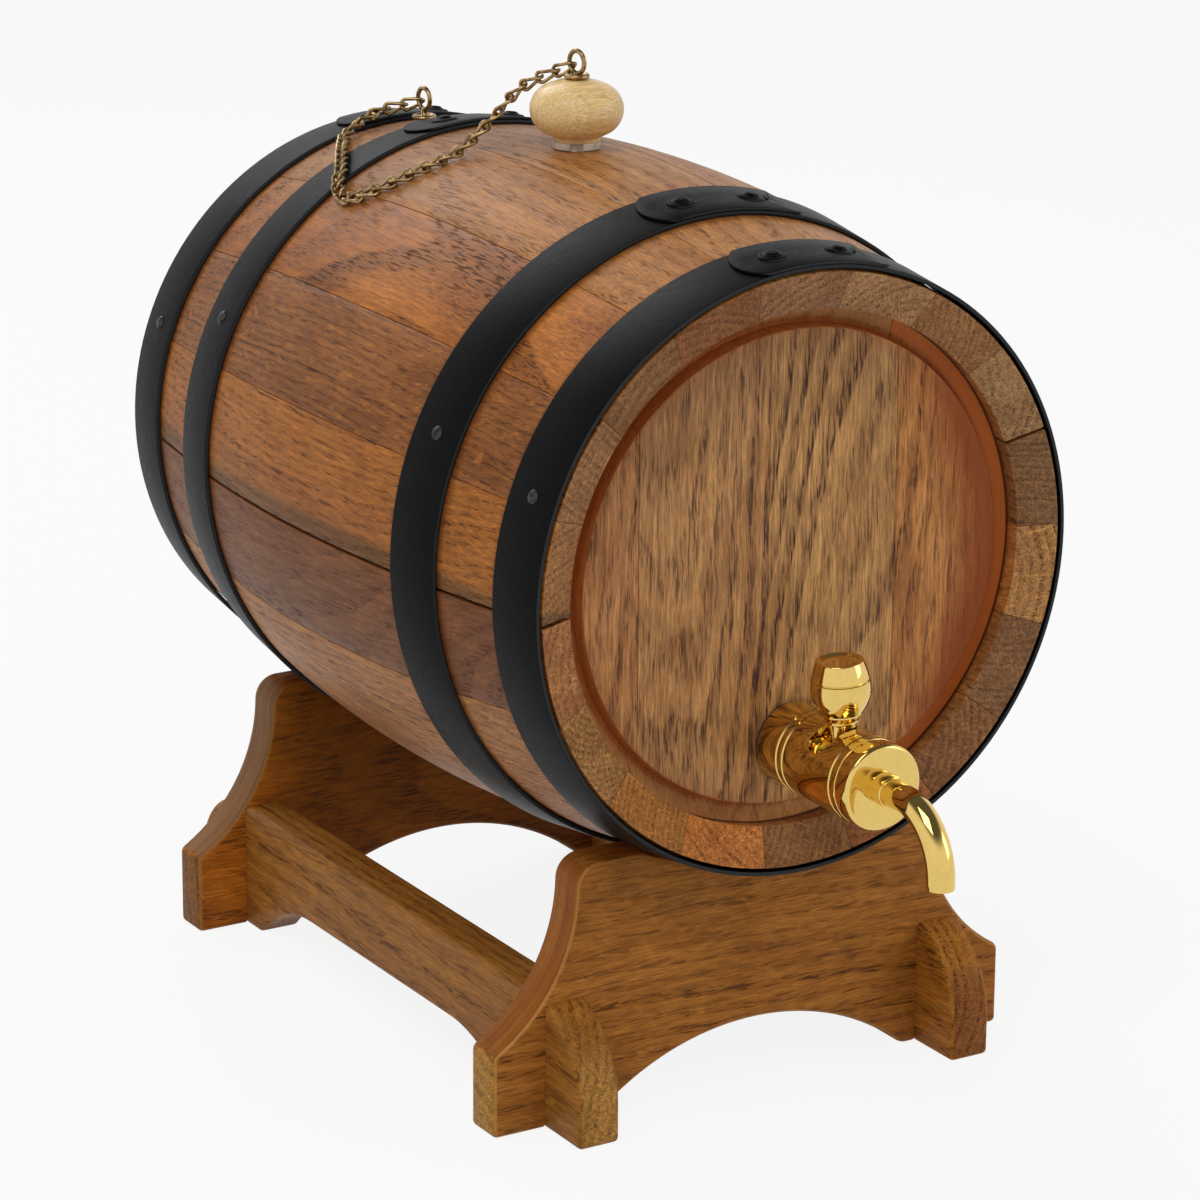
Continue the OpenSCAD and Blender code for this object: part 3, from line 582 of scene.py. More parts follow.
def oak_finish(name, axis, seed, light, dark, end=None, gloss=0.03, square=0.72, shine=0.14, extra=None, **grain):
    """Oak whose grain runs along an axis of the frame; end is its end grain's colour over the side's."""
    finish, tree, shader = new_finish(name)
    board = board_place(tree)
    values = {"Pore": srgb(70, 40, 22), "Ray": tuple(min(1, c) for c in tone(light, 1.45)), **grain}
    wood = group(tree, "Oak grain", Board=board, Seed=seed, Light=light, Dark=dark, **values)
    colour = wood["Colour"]
    if end:
        spots = span(noise(stretch(board, 1050, 1050, 1050), 1, 4, 0.75), 0.36, 0.64)
        colour = dyed(colour, end_mask(tree, axis, square), mixed(spots, tone(end, 0.72), tone(end, 1.24)))
    if extra:
        colour = extra(colour)
    surface(shader, colour, wood, 0.35, 0.00025, Specular_IOR_Level=shine, Coat_Weight=gloss, Coat_Roughness=0.3)
    return finish


def worn_finish(name, clean, dirt, dirty, smoothest, roughest, metallic=1.0, grain=900.0, strength=0.1,
                relief=0.0002, shine=0.5, edge_highlight=None):
    """Metal, paint or a small plain piece; edge_highlight is the colour of a painted highlight on its edges that
    face along Y.
    """
    if name in bpy.data.materials:
        return bpy.data.materials[name]
    finish, tree, shader = new_finish(name)
    worn = group(tree, "Worn metal", Place=object_place(tree), Clean=clean, Dirt=dirt, Dirty=dirty,
                 Smooth=smoothest, Rough=roughest, Grain=grain)
    colour = worn["Colour"]
    # Painted highlight on the edges that face along Y.
    if edge_highlight:
        colour = mixed(end_mask(tree, 1, 0.7) * 0.8, colour, edge_highlight)
    surface(shader, colour, worn, strength, relief, Specular_IOR_Level=shine, Metallic=metallic)
    return finish


def hoop_paint(context):
    black = tuple(context.scene.keg_colours.hoop)
    # The hoops' edges that face along Y get a pale painted highlight.
    return worn_finish("Hoop paint", black, tone(black, 0.6, 0.6, 0.62), 0.5, 0.34, 0.5, metallic=0.0, grain=520.0,
                       strength=0.3, shine=0.055, edge_highlight=srgb(54, 57, 59))


def gilt(context):
    gold = tuple(context.scene.keg_colours.gold)
    return worn_finish("Gilt plating", gold, tone(gold, 0.9, 0.85, 0.7), 0.3, 0.035, 0.07, grain=300.0,
                       strength=0.01)


# ---- What a user would change ----

def length(name, about, default, least=0.0):
    return bpy.props.FloatProperty(name=name, description=about, default=default, min=least, unit="LENGTH")


def paint(name, about, default):
    return bpy.props.FloatVectorProperty(name=name, description=about, default=default, subtype="COLOR", size=4)


def power(name, about, default):
    return bpy.props.FloatProperty(name=name, description=about, default=default, min=0, unit="POWER")


class KegSizes(bpy.types.PropertyGroup):
    """Small sizes that only the looks need, in metres."""

    stave_edge: length("Stave edge", "Easing of the staves' edges", 0.00022)
    open_joint: length("Open joint", "Width of the two joints that have opened", 0.001)
    hoop_edge: length("Hoop edge", "Rounding of the hoops' edges", 0.0004, 0.0001)
    stand_edge: length("Stand edge", "Rounding of the stand's edges", 0.0017)


class KegColours(bpy.types.PropertyGroup):
    """Main colours of the finishes."""

    stave: paint("Staves", "Usual colour of the staves", srgb(190, 132, 82))
    head: paint("Heads", "Light colour of the heads", srgb(196, 150, 98))
    stand: paint("Stand", "Light colour of the stand", srgb(184, 130, 66))
    hoop: paint("Hoops", "Paint of the hoops", srgb(9, 9, 10))
    gold: paint("Tap", "Plating of the tap", (0.76, 0.54, 0.17, 1))
    brass: paint("Chain", "Aged brass of the chain", (0.42, 0.29, 0.13, 1))
    bung: paint("Bung", "Turned wood of the bung", srgb(238, 203, 142))


class KegStage(bpy.types.PropertyGroup):
    """Camera and lights."""

    lens: bpy.props.FloatProperty(name="Lens", description="Focal length on a 36 mm sensor", default=139.1, min=10,
                                  subtype="DISTANCE_CAMERA", unit="CAMERA")
    key: power("Key light", "Power of the large light above", 9.0)
    fill: power("Fill light", "Power of the light on the tap's side", 3.5)
    back: power("Back light", "Power of the light behind, for the sheen on top", 7.0)
    sky: bpy.props.FloatProperty(name="Room", description="Strength of the room's light", default=0.42, min=0)


class KEG_OT_finishes(bpy.types.Operator):
    """Builds the shared effects and gives the small plain nodes their finishes"""

    bl_idname = "keg.finishes"
    bl_label = "Shared finishes"

    def execute(self, context):
        make_oak_group()
        make_band_group()
        make_metal_group()
        gold = gilt(context)
        rubber = worn_finish("Seal rubber", srgb(34, 34, 34), srgb(20, 20, 20), 0.5, 0.6, 0.85, metallic=0.0,
                             relief=0.0001)
        plain = {"tap_washer": rubber, "tap_seal": rubber, "tap_nut": gold, "valve_drum": gold}
        for name, finish in plain.items():
            painted(frame["nodes"][name], finish)
        return {"FINISHED"}


# ---- The cask ----

# Stave by stave from the bung's: colour over the usual one, darkness of the grain, pith, ring width,
# streaks, rays, colour of the end grain over the side's
STAVES = [
    ((1.02, 1.02, 0.83), 0.60, (40, -90), 3.0, 0.40, 0.25, (0.76, 0.81, 1.16)),
    ((0.97, 0.99, 0.86), 0.62, (25, -40), 2.4, 0.45, 0.45, (0.98, 1.13, 1.50)),
    ((0.76, 0.70, 0.58), 0.60, (-60, -50), 2.0, 0.55, 0.30, (1.04, 1.18, 1.39)),
    ((1.00, 0.94, 0.76), 0.66, (-20, -45), 2.6, 0.40, 0.35, (0.84, 1.09, 1.57)),
    ((0.65, 0.63, 0.55), 0.60, (70, -30), 1.9, 0.60, 0.30, (0.87, 0.99, 1.28)),
    ((1.06, 0.88, 0.63), 0.60, (10, -70), 3.2, 0.45, 0.60, (0.98, 1.29, 1.66)),
    ((0.78, 0.70, 0.56), 0.60, (-45, -35), 2.1, 0.55, 0.40, (0.77, 0.95, 1.39)),
    ((0.71, 0.67, 0.56), 0.58, (30, -60), 2.3, 0.60, 0.35, (0.87, 0.90, 1.10)),
    ((0.90, 0.68, 0.48), 0.60, (-10, -80), 2.8, 0.50, 0.35, (0.87, 0.90, 1.10)),
    ((0.73, 0.67, 0.55), 0.60, (50, -45), 2.0, 0.60, 0.60, (0.83, 0.88, 0.92)),
    ((1.02, 0.83, 0.58), 0.60, (-35, -60), 2.5, 0.45, 0.30, (1.25, 1.24, 1.13)),
    ((0.78, 0.72, 0.60), 0.60, (-65, -25), 2.2, 0.50, 0.55, (1.29, 1.29, 1.01)),
    ((0.97, 0.92, 0.73), 0.56, (20, -30), 1.8, 0.70, 0.45, (0.99, 1.14, 1.25)),
    ((0.50, 0.40, 0.30), 0.56, (-15, -55), 3.0, 0.60, 0.30, (2.11, 2.58, 3.35)),
    ((0.92, 0.73, 0.36), 0.58, (-50, -40), 2.2, 0.45, 0.35, (0.98, 1.27, 2.51)),
    ((0.68, 0.55, 0.35), 0.58, (60, -20), 2.4, 0.65, 0.45, (1.29, 1.74, 2.92)),
    ((1.04, 0.80, 0.41), 0.42, (5, -110), 4.2, 0.40, 0.15, (0.67, 0.91, 1.76)),
    ((0.99, 0.92, 0.62), 0.56, (-25, -65), 2.6, 0.40, 0.25, (0.69, 0.63, 0.88)),
]
STAVE_GAP = 0.12
MOST_SHRINKAGE = 0.0012
OPEN_JOINTS = (-91.5, 68.5)
CHIME_SLOPE = 4.6
BUNG_Y = 133
BUNG_HOLE_R = 6.5
SAP_STAVE = 14
# Top staves whose rear is darkened as painted shade, by how much, and where along the cask it darkens
SHADED_TOP_STAVES = {0: 0.8, 1: 0.6, 16: 0.4, 17: 0.35}
SHADE_Y = (118, 152)


def stave_profile():
    """(radius, along) of one stave, with the crozes for the heads and ends that slope inwards."""

    def inside(y):
        return cask_radius(y) - STAVE_T, y

    taper = [0, 10, 20, 30, 39, TAPER_LEN]
    bend = [TAPER_LEN + (CASK_LEN - 2 * TAPER_LEN) * i / 22 for i in range(1, 22)]
    ys = taper + bend + [CASK_LEN - y for y in reversed(taper)]
    near, far = CROZE
    deep = cask_radius(11) - STAVE_T + CROZE_DEPTH
    croze = [inside(far), (deep, far), (deep, near), inside(near)]
    inner = [inside(y) for y in reversed(ys)]
    inner[-2:-2] = croze
    inner[2:2] = [(r, CASK_LEN - y) for r, y in reversed(croze)]
    inner[0] = inside(CASK_LEN - CHIME_SLOPE)
    inner[-1] = inside(CHIME_SLOPE)
    return [(cask_radius(y), y) for y in ys] + inner


def plain_stave():
    """One stave at the top of the cask, closed on all sides."""
    half = PITCH / 2 - math.degrees(STAVE_GAP / 2 / BILGE_R)
    stave = outline("stave", [round_from(CASK_MID, -half, r, y) for r, y in stave_profile()])
    bpy.ops.mesh.edge_face_add()
    bpy.ops.mesh.spin(steps=8, angle=math.radians(-2 * half), center=CASK_MID, axis=BACK)
    return closed_up(stave)


def stave_marks(i):
    """The marks on stave i: painted shade beside the hoops, painted shade on the rear of some top staves, and
    sapwood along one edge of another.
    """

    def added(colour):
        place = object_place(colour.tree)
        hoop_shade = group(colour.tree, "Stain by the hoops", Place=place)["Mask"]
        # Painted shade beside the hoops' edges.
        colour = mixed(hoop_shade * 0.62, colour, srgb(96, 46, 16))
        # Painted shade for the chain's shadow and a weaker sheen: these top staves darken towards the rear.
        if i in SHADED_TOP_STAVES:
            low, high = ((y - FRONT) / 1000 for y in SHADE_Y)
            rear = span(split(place)[1], low, high, 0.0, SHADED_TOP_STAVES[i])
            colour = dyed(colour, rear, (0.5, 0.47, 0.45, 1))
        if i == SAP_STAVE:
            board = board_place(colour.tree)
            ragged = noise(stretch(board, 60, 14, 60), 1, 3) * 0.008 + split(board)[0]
            colour = dyed(colour, fall(ragged, -0.0085, -0.0055) * 0.85, (0.42, 0.52, 0.66, 1))
        return colour

    return added


class KEG_OT_staves(bpy.types.Operator):
    """Builds one stave and copies it round the cask"""

    bl_idname = "keg.staves"
    bl_label = "Staves"

    def execute(self, context):
        sizes, usual = context.scene.keg_sizes, context.scene.keg_colours.stave
        rng = random.Random(7)
        first = plain_stave()
        for i, (hue, darkness, pith, ring, streaks, rays, end) in enumerate(STAVES):
            left = FIRST_JOINT + PITCH * i
            right = left + PITCH
            middle = (left + right) / 2
            shrink = 1 - rng.uniform(0.0, MOST_SHRINKAGE)
            stave = twin(first, "oak_stave_%02d" % (i + 1))
            settled(stave, Matrix.Translation(CASK_MID) @ turned(middle)
                    @ Matrix.Diagonal((shrink, 1, shrink, 1)) @ Matrix.Translation(-CASK_MID))
            for turn, keep in ((left, 1), (right, -1)):
                if (turn + 180) % 360 - 180 in OPEN_JOINTS:
                    across = out_at(turn + 90) * keep
                    cut(stave, CASK_MID + across * (sizes.open_joint / 2), across)
                    closed_up(stave)
            if i == 0:
                alone()
                bpy.ops.mesh.primitive_cylinder_add(vertices=48, radius=BUNG_HOLE_R / 1000, depth=0.05,
                                                    location=spot(0, BUNG_Y, AXIS_Z + 96))
                drilled(stave, "Bung hole", named("bung_drill"))
            ease(stave, sizes.stave_edge * 1000)
            stave_map(stave, middle)
            smooth(stave)
            light = tone(usual, *hue)
            dark = tone(light, darkness, darkness * 0.9, darkness * 0.8)
            finish = oak_finish("Stave oak %02d" % (i + 1), 1, i * 3.7 + 1, light, dark, end, extra=stave_marks(i),
                                Pith_X=pith[0], Pith_Z=pith[1], Lean=rng.uniform(-0.06, 0.06), Ring_Width=ring,
                                Streaks=streaks, Rays=rays, Rings=0.62, Pores=0.85, Dashes=0.25, Blotches=0.6)
            dress(stave, "barrel", finish, "stave_%02d" % (i + 1))
        bpy.data.objects.remove(first)
        return {"FINISHED"}


# Board by board from the left: colour over the usual one, pith, rust, lean
HEAD_BOARDS = [
    ((1.20, 1.00, 0.90), (-62, -26), 0.0, 0.11),
    ((1.14, 1.04, 0.96), (-28, -30), 0.0, 0.09),
    ((1.18, 1.12, 0.98), (30, -38), 0.0, -0.07),
    ((1.20, 0.94, 0.70), (44, -24), 1.0, 0.12),
]


def head_profile():
    """(radius, depth) of a head: its field, the step round it, the rim, the tongue and the bevel behind."""
    rim = cask_radius(11) - STAVE_T
    field = [(r, FIELD_DEPTH) for r in (0, 30, 60, 71.2)]
    step = [(71.7, 7.68), (72.05, 7.95), (72.2, 8.4), (72.75, 12.2), (72.95, 12.75), (73.4, 13)]
    tongue = [(rim - 0.3, 11.1), (rim + 2.7, 11), (rim + 2.7, 15.5), (rim - 0.3, 15.5)]
    return field + step + tongue + [(rim - 4.8, 20), (0, 20)]


def head_marks(rust):
    """The marks on a head, by the distance from its middle in metres, and a painted shadow at its top; rust
    reddens the board at the right.
    """

    def added(colour):
        x, _, z = split(object_place(colour.tree))
        z = z - AXIS_Z / 1000
        r = root(x * x + z * z)
        # Painted shadow of the chime: the upper left of the head is darkened, a little bluish.
        upper = span(r, 0.035, 0.068) * span(z, -0.01, 0.045)
        colour = dyed(colour, upper * fall(x, 0.02, 0.05) * 0.6, (0.60, 0.58, 0.66, 1))
        step = span(r, 0.0716, 0.0722) * fall(r, 0.0734, 0.0750)
        colour = mixed(step * 0.72, colour, srgb(186, 100, 40))
        side = span(r, 0.050, 0.071) * span(x, 0.036, 0.058)
        colour = mixed(side * (0.95 * rust), colour, srgb(138, 62, 18))
        rim = span(r, 0.0738, 0.0752) * (0.55 + 0.2 * rust)
        colour = mixed(rim, colour, srgb(214, 116, 50) if rust else srgb(206, 142, 80))
        seam = span(r, 0.0784, 0.0788)
        colour = mixed(seam * 0.85, colour, srgb(48, 26, 14))
        edge = span(r, 0.0665, 0.0718) * fall(r, 0.0714, 0.072)
        return mixed(edge * 0.3, colour, srgb(140, 84, 40))

    return added


class KEG_OT_heads(bpy.types.Operator):
    """Builds both heads, turned whole and cut into their boards"""

    bl_idname = "keg.heads"
    bl_label = "Heads"

    def execute(self, context):
        usual = context.scene.keg_colours.head
        cuts = (None, *HEAD_JOINTS, None)
        for rear in (False, True):
            end = "rear" if rear else "front"
            whole = lathe("head", head_profile(), *cask_end(rear), UP, 128)
            for i, (hue, pith, rust, lean) in enumerate(HEAD_BOARDS):
                board = twin(whole, "%s_head_board_%d" % (end, i + 1))
                for x, keep in ((cuts[i], 1), (cuts[i + 1], -1)):
                    if x is not None:
                        cut(board, ((x + keep * HEAD_GAP) / 1000, 0, 0), (keep, 0, 0))
                closed_up(board)
                ease(board, 0.16, 60, segments=1)
                board_map(board, RIGHT, UP, BACK)
                smooth(board)
                light = tone(usual, *hue)
                dark = tone(light, 0.40, 0.33, 0.34)
                finish = oak_finish("%s head oak %d" % (end.capitalize(), i + 1), 2, 60 + i * 5.3 + rear * 31,
                                    light, dark, extra=head_marks(rust), Pith_X=pith[0], Pith_Z=pith[1], Lean=lean,
                                    Ring_Width=3.4, Streaks=0.4, Rings=0.6, Pores=1.0, Dashes=0.85, Rays=0.1,
                                    Blotches=0.8, Waver=7, Pore=srgb(66, 40, 36))
                dress(board, "barrel", finish, "head_%s_%d" % (end, i + 1))
            bpy.data.objects.remove(whole)
        return {"FINISHED"}


# ---- The hoops ----

HOOPS = (("end", False), ("inner", False), ("inner", True), ("end", True))
NAILS = (("end", False, -69.0), ("inner", False, -65.6), ("end", True, -69.2), ("inner", True, -63.0))
RIVETS = [(kind, rear, turn) for kind, rear, _ in NAILS for turn in (-4.8, 9.2)]


def band_profile(edges, edge):
    """Closed profile of a hoop with rounded edges."""
    (y0, r0), (y1, r1) = edges
    width = math.hypot(y1 - y0, r1 - r0)
    run, rise = (y1 - y0) / width, (r1 - r0) / width
    corners = ((edge, edge, 180), (width - edge, edge, 270), (width - edge, HOOP_T - edge, 0),
               (edge, HOOP_T - edge, 90))
    points = []
    for u, v, start in corners:
        for k in range(5):
            t = math.radians(start + 90 * k / 4)
            pu, pv = u + edge * math.cos(t), v + edge * math.sin(t)
            points.append((r0 + pu * rise + pv * run, y0 + pu * run - pv * rise))
    return points


def hoop_places(spots, over):
    """Frames that stand on the middle of a hoop at a turn, at a height over its seat."""
    for kind, rear, turn in spots:
        (y0, r0), (y1, r1) = hoop_edges(kind)
        y, r = (y0 + y1) / 2, (r0 + r1) / 2
        slope = math.atan2(r1 - r0, y1 - y0) * (-1 if rear else 1)
        at = round_from(spot(0, CASK_LEN - y if rear else y, AXIS_Z), turn, r)
        yield (Matrix.Translation(at) @ turned(turn) @ Matrix.Rotation(slope, 4, "X")
               @ Matrix.Translation((0, 0, over / 1000)))


class KEG_OT_hoops(bpy.types.Operator):
    """Builds the four hoops"""

    bl_idname = "keg.hoops"
    bl_label = "Hoops"

    def execute(self, context):
        edge = context.scene.keg_sizes.hoop_edge * 1000
        for n, (kind, rear) in enumerate(HOOPS):
            hoop = lathe("iron_hoop_%d" % (n + 1), band_profile(hoop_edges(kind), edge), *cask_end(rear), UP, 160,
                         50, loop=True)
            dress(hoop, "barrel", hoop_paint(context), "hoop_%d" % (n + 1))
        return {"FINISHED"}


class KEG_OT_splices(bpy.types.Operator):
    """Builds the splice plates, their rivets and the nails"""

    bl_idname = "keg.splices"
    bl_label = "Splices, rivets and nails"

    def execute(self, context):
        plates = carried_copy("splice_plates", "iron_splice_plates")
        ease(plates, 0.3, clamp=False)
        smooth(plates, 40)
        dress(plates, "barrel", hoop_paint(context), "splice_plates")
        dome = [(0, 1.32), (0.5, 1.33), (1.0, 1.36), (1.5, 1.32), (1.9, 1.14), (2.25, 0.86), (2.6, 0.6),
                (2.95, 0.46), (3.3, 0.44), (3.65, 0.44), (3.95, 0.34), (4.2, 0.16), (4.35, 0.0), (4.35, -0.3),
                (0, -0.3)]
        rivet = lathe("iron_rivets", dome, Vector(), UP, RIGHT, 32, 50)
        rivets = repeated(rivet, hoop_places(RIVETS, HOOP_T + PLATE_T + 2 * HOOP_SEAT))
        dress(rivets, "barrel", hoop_paint(context), "splice_rivets")
        head = [(0, 0.9), (0.8, 0.84), (1.4, 0.66), (1.85, 0.4), (2.1, 0.18), (2.2, 0.0), (2.2, -0.1), (0, -0.1)]
        nail = lathe("steel_nails", head, Vector(), UP, RIGHT, 28, 50)
        nails = repeated(nail, hoop_places(NAILS, HOOP_T + 0.02))
        steel = worn_finish("Nail steel", srgb(70, 72, 72), srgb(26, 26, 26), 0.7, 0.35, 0.6, grain=1500.0,
                            strength=0.3)
        dress(nails, "barrel", steel, "hoop_nails")
        return {"FINISHED"}


# ---- The tap ----

TAP_Z = 114.8
TAP_MID = spot(0, FIELD_DEPTH, TAP_Z)
TAP_OUT = Vector((0, -1, 0))
TAP_R = 13
STEM_Y = -20.5
STEM_MID = spot(0, STEM_Y, TAP_Z)
SLOT_HALF = 4.5
SLOT_LEN = 16
LEVER_REST = -4
LEVER_SWING = 36
SPOUT_R = 4.2
SPOUT_WALL = 0.9
SPOUT_START = 45.5
SPOUT_RUN = 13.1
SPOUT_BEND_R = 19.3
SPOUT_TIP = 2


def grooved(radius, start, end, grooves, deep=0.35):
    """Profile along a turned bar with fine grooves."""
    points = [(radius, start)]
    for g in grooves:
        for off, sunk in ((-0.55, 0), (-0.4, 0.02), (-0.08, deep), (0.08, deep), (0.4, 0.02), (0.55, 0)):
            points.append((radius - sunk, g + off))
    return points + [(radius, end)]


def slot_cutters():
    """The sweep of the lever's stem, and its round ends."""
    corners = [(SLOT_HALF, -SLOT_HALF), (SLOT_HALF + SLOT_LEN, -SLOT_HALF), (SLOT_HALF + SLOT_LEN, SLOT_HALF),
               (SLOT_HALF, SLOT_HALF)]
    sweep = outline("slot_sweep", [round_from(STEM_MID, LEVER_REST, r, y) for r, y in corners])
    bpy.ops.mesh.edge_face_add()
    bpy.ops.mesh.spin(steps=18, angle=math.radians(LEVER_SWING), center=STEM_MID, axis=BACK)
    yield closed_up(sweep)
    up = (0, 0, (SLOT_HALF + SLOT_LEN / 2) / 1000)
    for turn in (LEVER_REST, LEVER_REST - LEVER_SWING):
        alone()
        bpy.ops.mesh.primitive_cylinder_add(vertices=40, radius=SLOT_HALF / 1000, depth=SLOT_LEN / 1000,
                                            location=up)
        yield settled(named("slot_end"), Matrix.Translation(STEM_MID) @ turned(turn) @ Matrix.Translation(up))


def tap_body():
    shank = [(0, -24), (8, -24), (8, 1.2), (12.6, 1.2), (12.9, 1.3)]
    bore = [(12.65, 42.28), (9.05, 42.28), (9.05, 16.3), (0, 16.3)]
    profile = shank + grooved(TAP_R, 1.6, 42.1, (11.6, 14.7, 39.2)) + bore
    body = lathe("gilt_tap_body", profile, TAP_MID, TAP_OUT, UP, 128)
    drilled(body, "Lever slot", *slot_cutters())
    ease(body, 0.22, 60)
    smooth(body)
    return body


def tap_cap():
    profile = [(0, 42.32), (12.65, 42.32), (12.97, 42.6), (TAP_R, 42.9), (TAP_R, 47.6), (12.93, 47.85),
               (12.75, 48.1), (12.4, 48.4), (12.15, 48.54), (11.8, 48.6), (6, 48.6), (0, 48.6)]
    return lathe("gilt_tap_cap", profile, TAP_MID, TAP_OUT, UP, 128, 30)


def tap_spout():
    """A pipe, extruded forwards, spun down and given its wall, with a collar where it leaves the cap."""
    alone()
    bpy.ops.mesh.primitive_circle_add(vertices=48, radius=SPOUT_R / 1000, rotation=(math.pi / 2, 0, 0),
                                      location=TAP_MID + TAP_OUT * (SPOUT_START / 1000))
    spout = named("gilt_spout")
    placed()
    edit(spout)
    bpy.ops.mesh.extrude_region_move(TRANSFORM_OT_translate={"value": TAP_OUT * (SPOUT_RUN / 1000)})
    bend = TAP_MID + TAP_OUT * ((SPOUT_START + SPOUT_RUN) / 1000) - UP * (SPOUT_BEND_R / 1000)
    bpy.ops.mesh.spin(steps=28, angle=math.radians(-90), center=bend, axis=RIGHT)
    bpy.ops.mesh.extrude_region_move(TRANSFORM_OT_translate={"value": UP * (-SPOUT_TIP / 1000)})
    closed_up(spout)
    apply(spout, "SOLIDIFY", "Wall", thickness=SPOUT_WALL / 1000, offset=-1)
    profile = [(4.1, 48.5), (4.9, 48.5), (4.9, 52.9), (4.82, 53.15), (4.6, 53.3), (4.1, 53.3)]
    collar = lathe("collar", profile, TAP_MID, TAP_OUT, UP, 64, loop=True)
    alone(spout, collar)
    bpy.ops.object.join()
    ease(spout, 0.12)
    smooth(spout)
    return spout


class KEG_OT_tap(bpy.types.Operator):
    """Builds the tap's body, cap and spout"""

    bl_idname = "keg.tap"
    bl_label = "Tap"

    def execute(self, context):
        for piece in (tap_body, tap_cap, tap_spout):
            dress(piece(), "barrel", gilt(context), piece.__name__)
        return {"FINISHED"}


KNOB_FOOT = 14.6
KNOB_BELLY = 10.26
KNOB_TOP = 19.0
KNOB_LINES = {2.85: 0.28, 9.6: 0.05, 13.3: 0.28}


def knob_radius(h):
    """Radius of the lever's knob at a height over its foot, but for the lines."""
    foot = 0.8
    if h < KNOB_BELLY:
        return 4.8 + 4.2 * math.sin(math.radians(90 * max(0, h - foot) / (KNOB_BELLY - foot)))
    return 9 - 2 * (1 - math.cos(math.radians(90 * (h - KNOB_BELLY) / (KNOB_TOP - KNOB_BELLY))))


def lever_stem():
    profile = [(0, 8.8), (4, 8.8), (4, 13.9), (4.1, 14.3), (4.4, KNOB_FOOT), (0, KNOB_FOOT)]
    return lathe("gilt_lever_stem", profile, STEM_MID, out_at(LEVER_REST), TAP_OUT, 64, 30)


def lever_knob():
    heights = [h for h in (0.8 + k / 2 for k in range(37)) if all(abs(h - g) > 0.42 for g in KNOB_LINES)]
    side = [(knob_radius(h), h) for h in heights]
    for g, deep in KNOB_LINES.items():
        side += [(knob_radius(g - 0.32), g - 0.32), (knob_radius(g) - deep, g - 0.06),
                 (knob_radius(g) - deep, g + 0.06), (knob_radius(g + 0.32), g + 0.32)]
    foot = [(0, 0), (4.5, 0), (4.75, 0.15), (4.8, 0.4)]
    top = [(6.95, 18.95), (6.6, KNOB_TOP), (6.2, 18.85), (5.7, 18.3), (5.2, 18.1), (3, 18.05), (0, 18.05)]
    profile = [(r, h + KNOB_FOOT) for r, h in foot + sorted(side, key=lambda p: p[1]) + top]
    return lathe("gilt_lever_knob", profile, STEM_MID, out_at(LEVER_REST), TAP_OUT, 96, 30)


class KEG_OT_lever(bpy.types.Operator):
    """Builds the lever's stem and its barrel-shaped knob"""

    bl_idname = "keg.lever"
    bl_label = "Lever"

    def execute(self, context):
        for piece in (lever_stem, lever_knob):
            dress(piece(), "lever", gilt(context), piece.__name__)
        return {"FINISHED"}


# ---- The bung and its chain ----

BUNG_H = 19.1
BUNG_R = 14.6
BUNG_SIDE_R = 8.0
BUNG_FOOT_R = 7.9


def bung_profile():
    """(radius, height) of the bung's knob: flat domes above and below, and a rounder side between them."""
    half = BUNG_H / 2
    core = BUNG_R - BUNG_SIDE_R
    dome_r = (core ** 2 + half ** 2 - BUNG_SIDE_R ** 2) / (2 * (half - BUNG_SIDE_R))
    dome_turn = math.degrees(math.atan(core / (dome_r - half)))
    upper = []
    for i in range(15):
        t = math.radians(90 - dome_turn * i / 14)
        upper.append((dome_r * math.cos(t), half - dome_r + dome_r * math.sin(t)))
    for i in range(1, 17):
        t = math.radians((90 - dome_turn) * (1 - i / 16))
        upper.append((core + BUNG_SIDE_R * math.cos(t), BUNG_SIDE_R * math.sin(t)))
    lower = [(r, -h) for r, h in reversed(upper[:-1]) if r > BUNG_FOOT_R]
    return [(r, h + half) for r, h in upper + lower] + [(7.4, 0.9), (7.3, 0.02), (0, 0.02)]


class KEG_OT_bung(bpy.types.Operator):
    """Builds the bung's turned knob and its notched stopper"""

    bl_idname = "keg.bung"
    bl_label = "Bung"

    def execute(self, context):
        low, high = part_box("bung_knob")
        foot = Vector((0, (low.y + high.y) / 2, low.z))
        knob = lathe("turned_bung_knob", bung_profile(), foot, UP, RIGHT, 96, 40)
        board_map(knob, BACK, RIGHT, UP)
        light = tuple(context.scene.keg_colours.bung)
        maple, tree, shader = new_finish("Turned maple")
        wood = group(tree, "Oak grain", Board=board_place(tree), Seed=4.0, Light=light,
                     Dark=tone(light, 0.84, 0.76, 0.64), Pore=tone(light, 0.8, 0.7, 0.58), Ray=tone(light, 1.05),
                     Pith_X=-30, Pith_Z=190, Lean=0.1, Ring_Width=2.6, Rings=0.35, Streaks=0.3, Pores=0.3,
                     Rays=0.3, Blotches=0.15, Waver=3)
        surface(shader, wood["Colour"], wood, 0.1, 0.0002, Coat_Weight=0.15)
        dress(knob, "bung", maple, "bung_knob")
        plug = carried_copy("bung_plug", "notched_stopper")
        ease(plug, 0.15)
        smooth(plug)
        pale = worn_finish("Pale stopper", srgb(224, 214, 196), srgb(150, 130, 104), 0.4, 0.45, 0.65, metallic=0.0,
                           grain=700.0)
        dress(plug, "bung", pale, "bung_plug")
        return {"FINISHED"}


LINK_HALF = 3.8
LINK_SIDE = 1.8
WIRE_R = 0.6


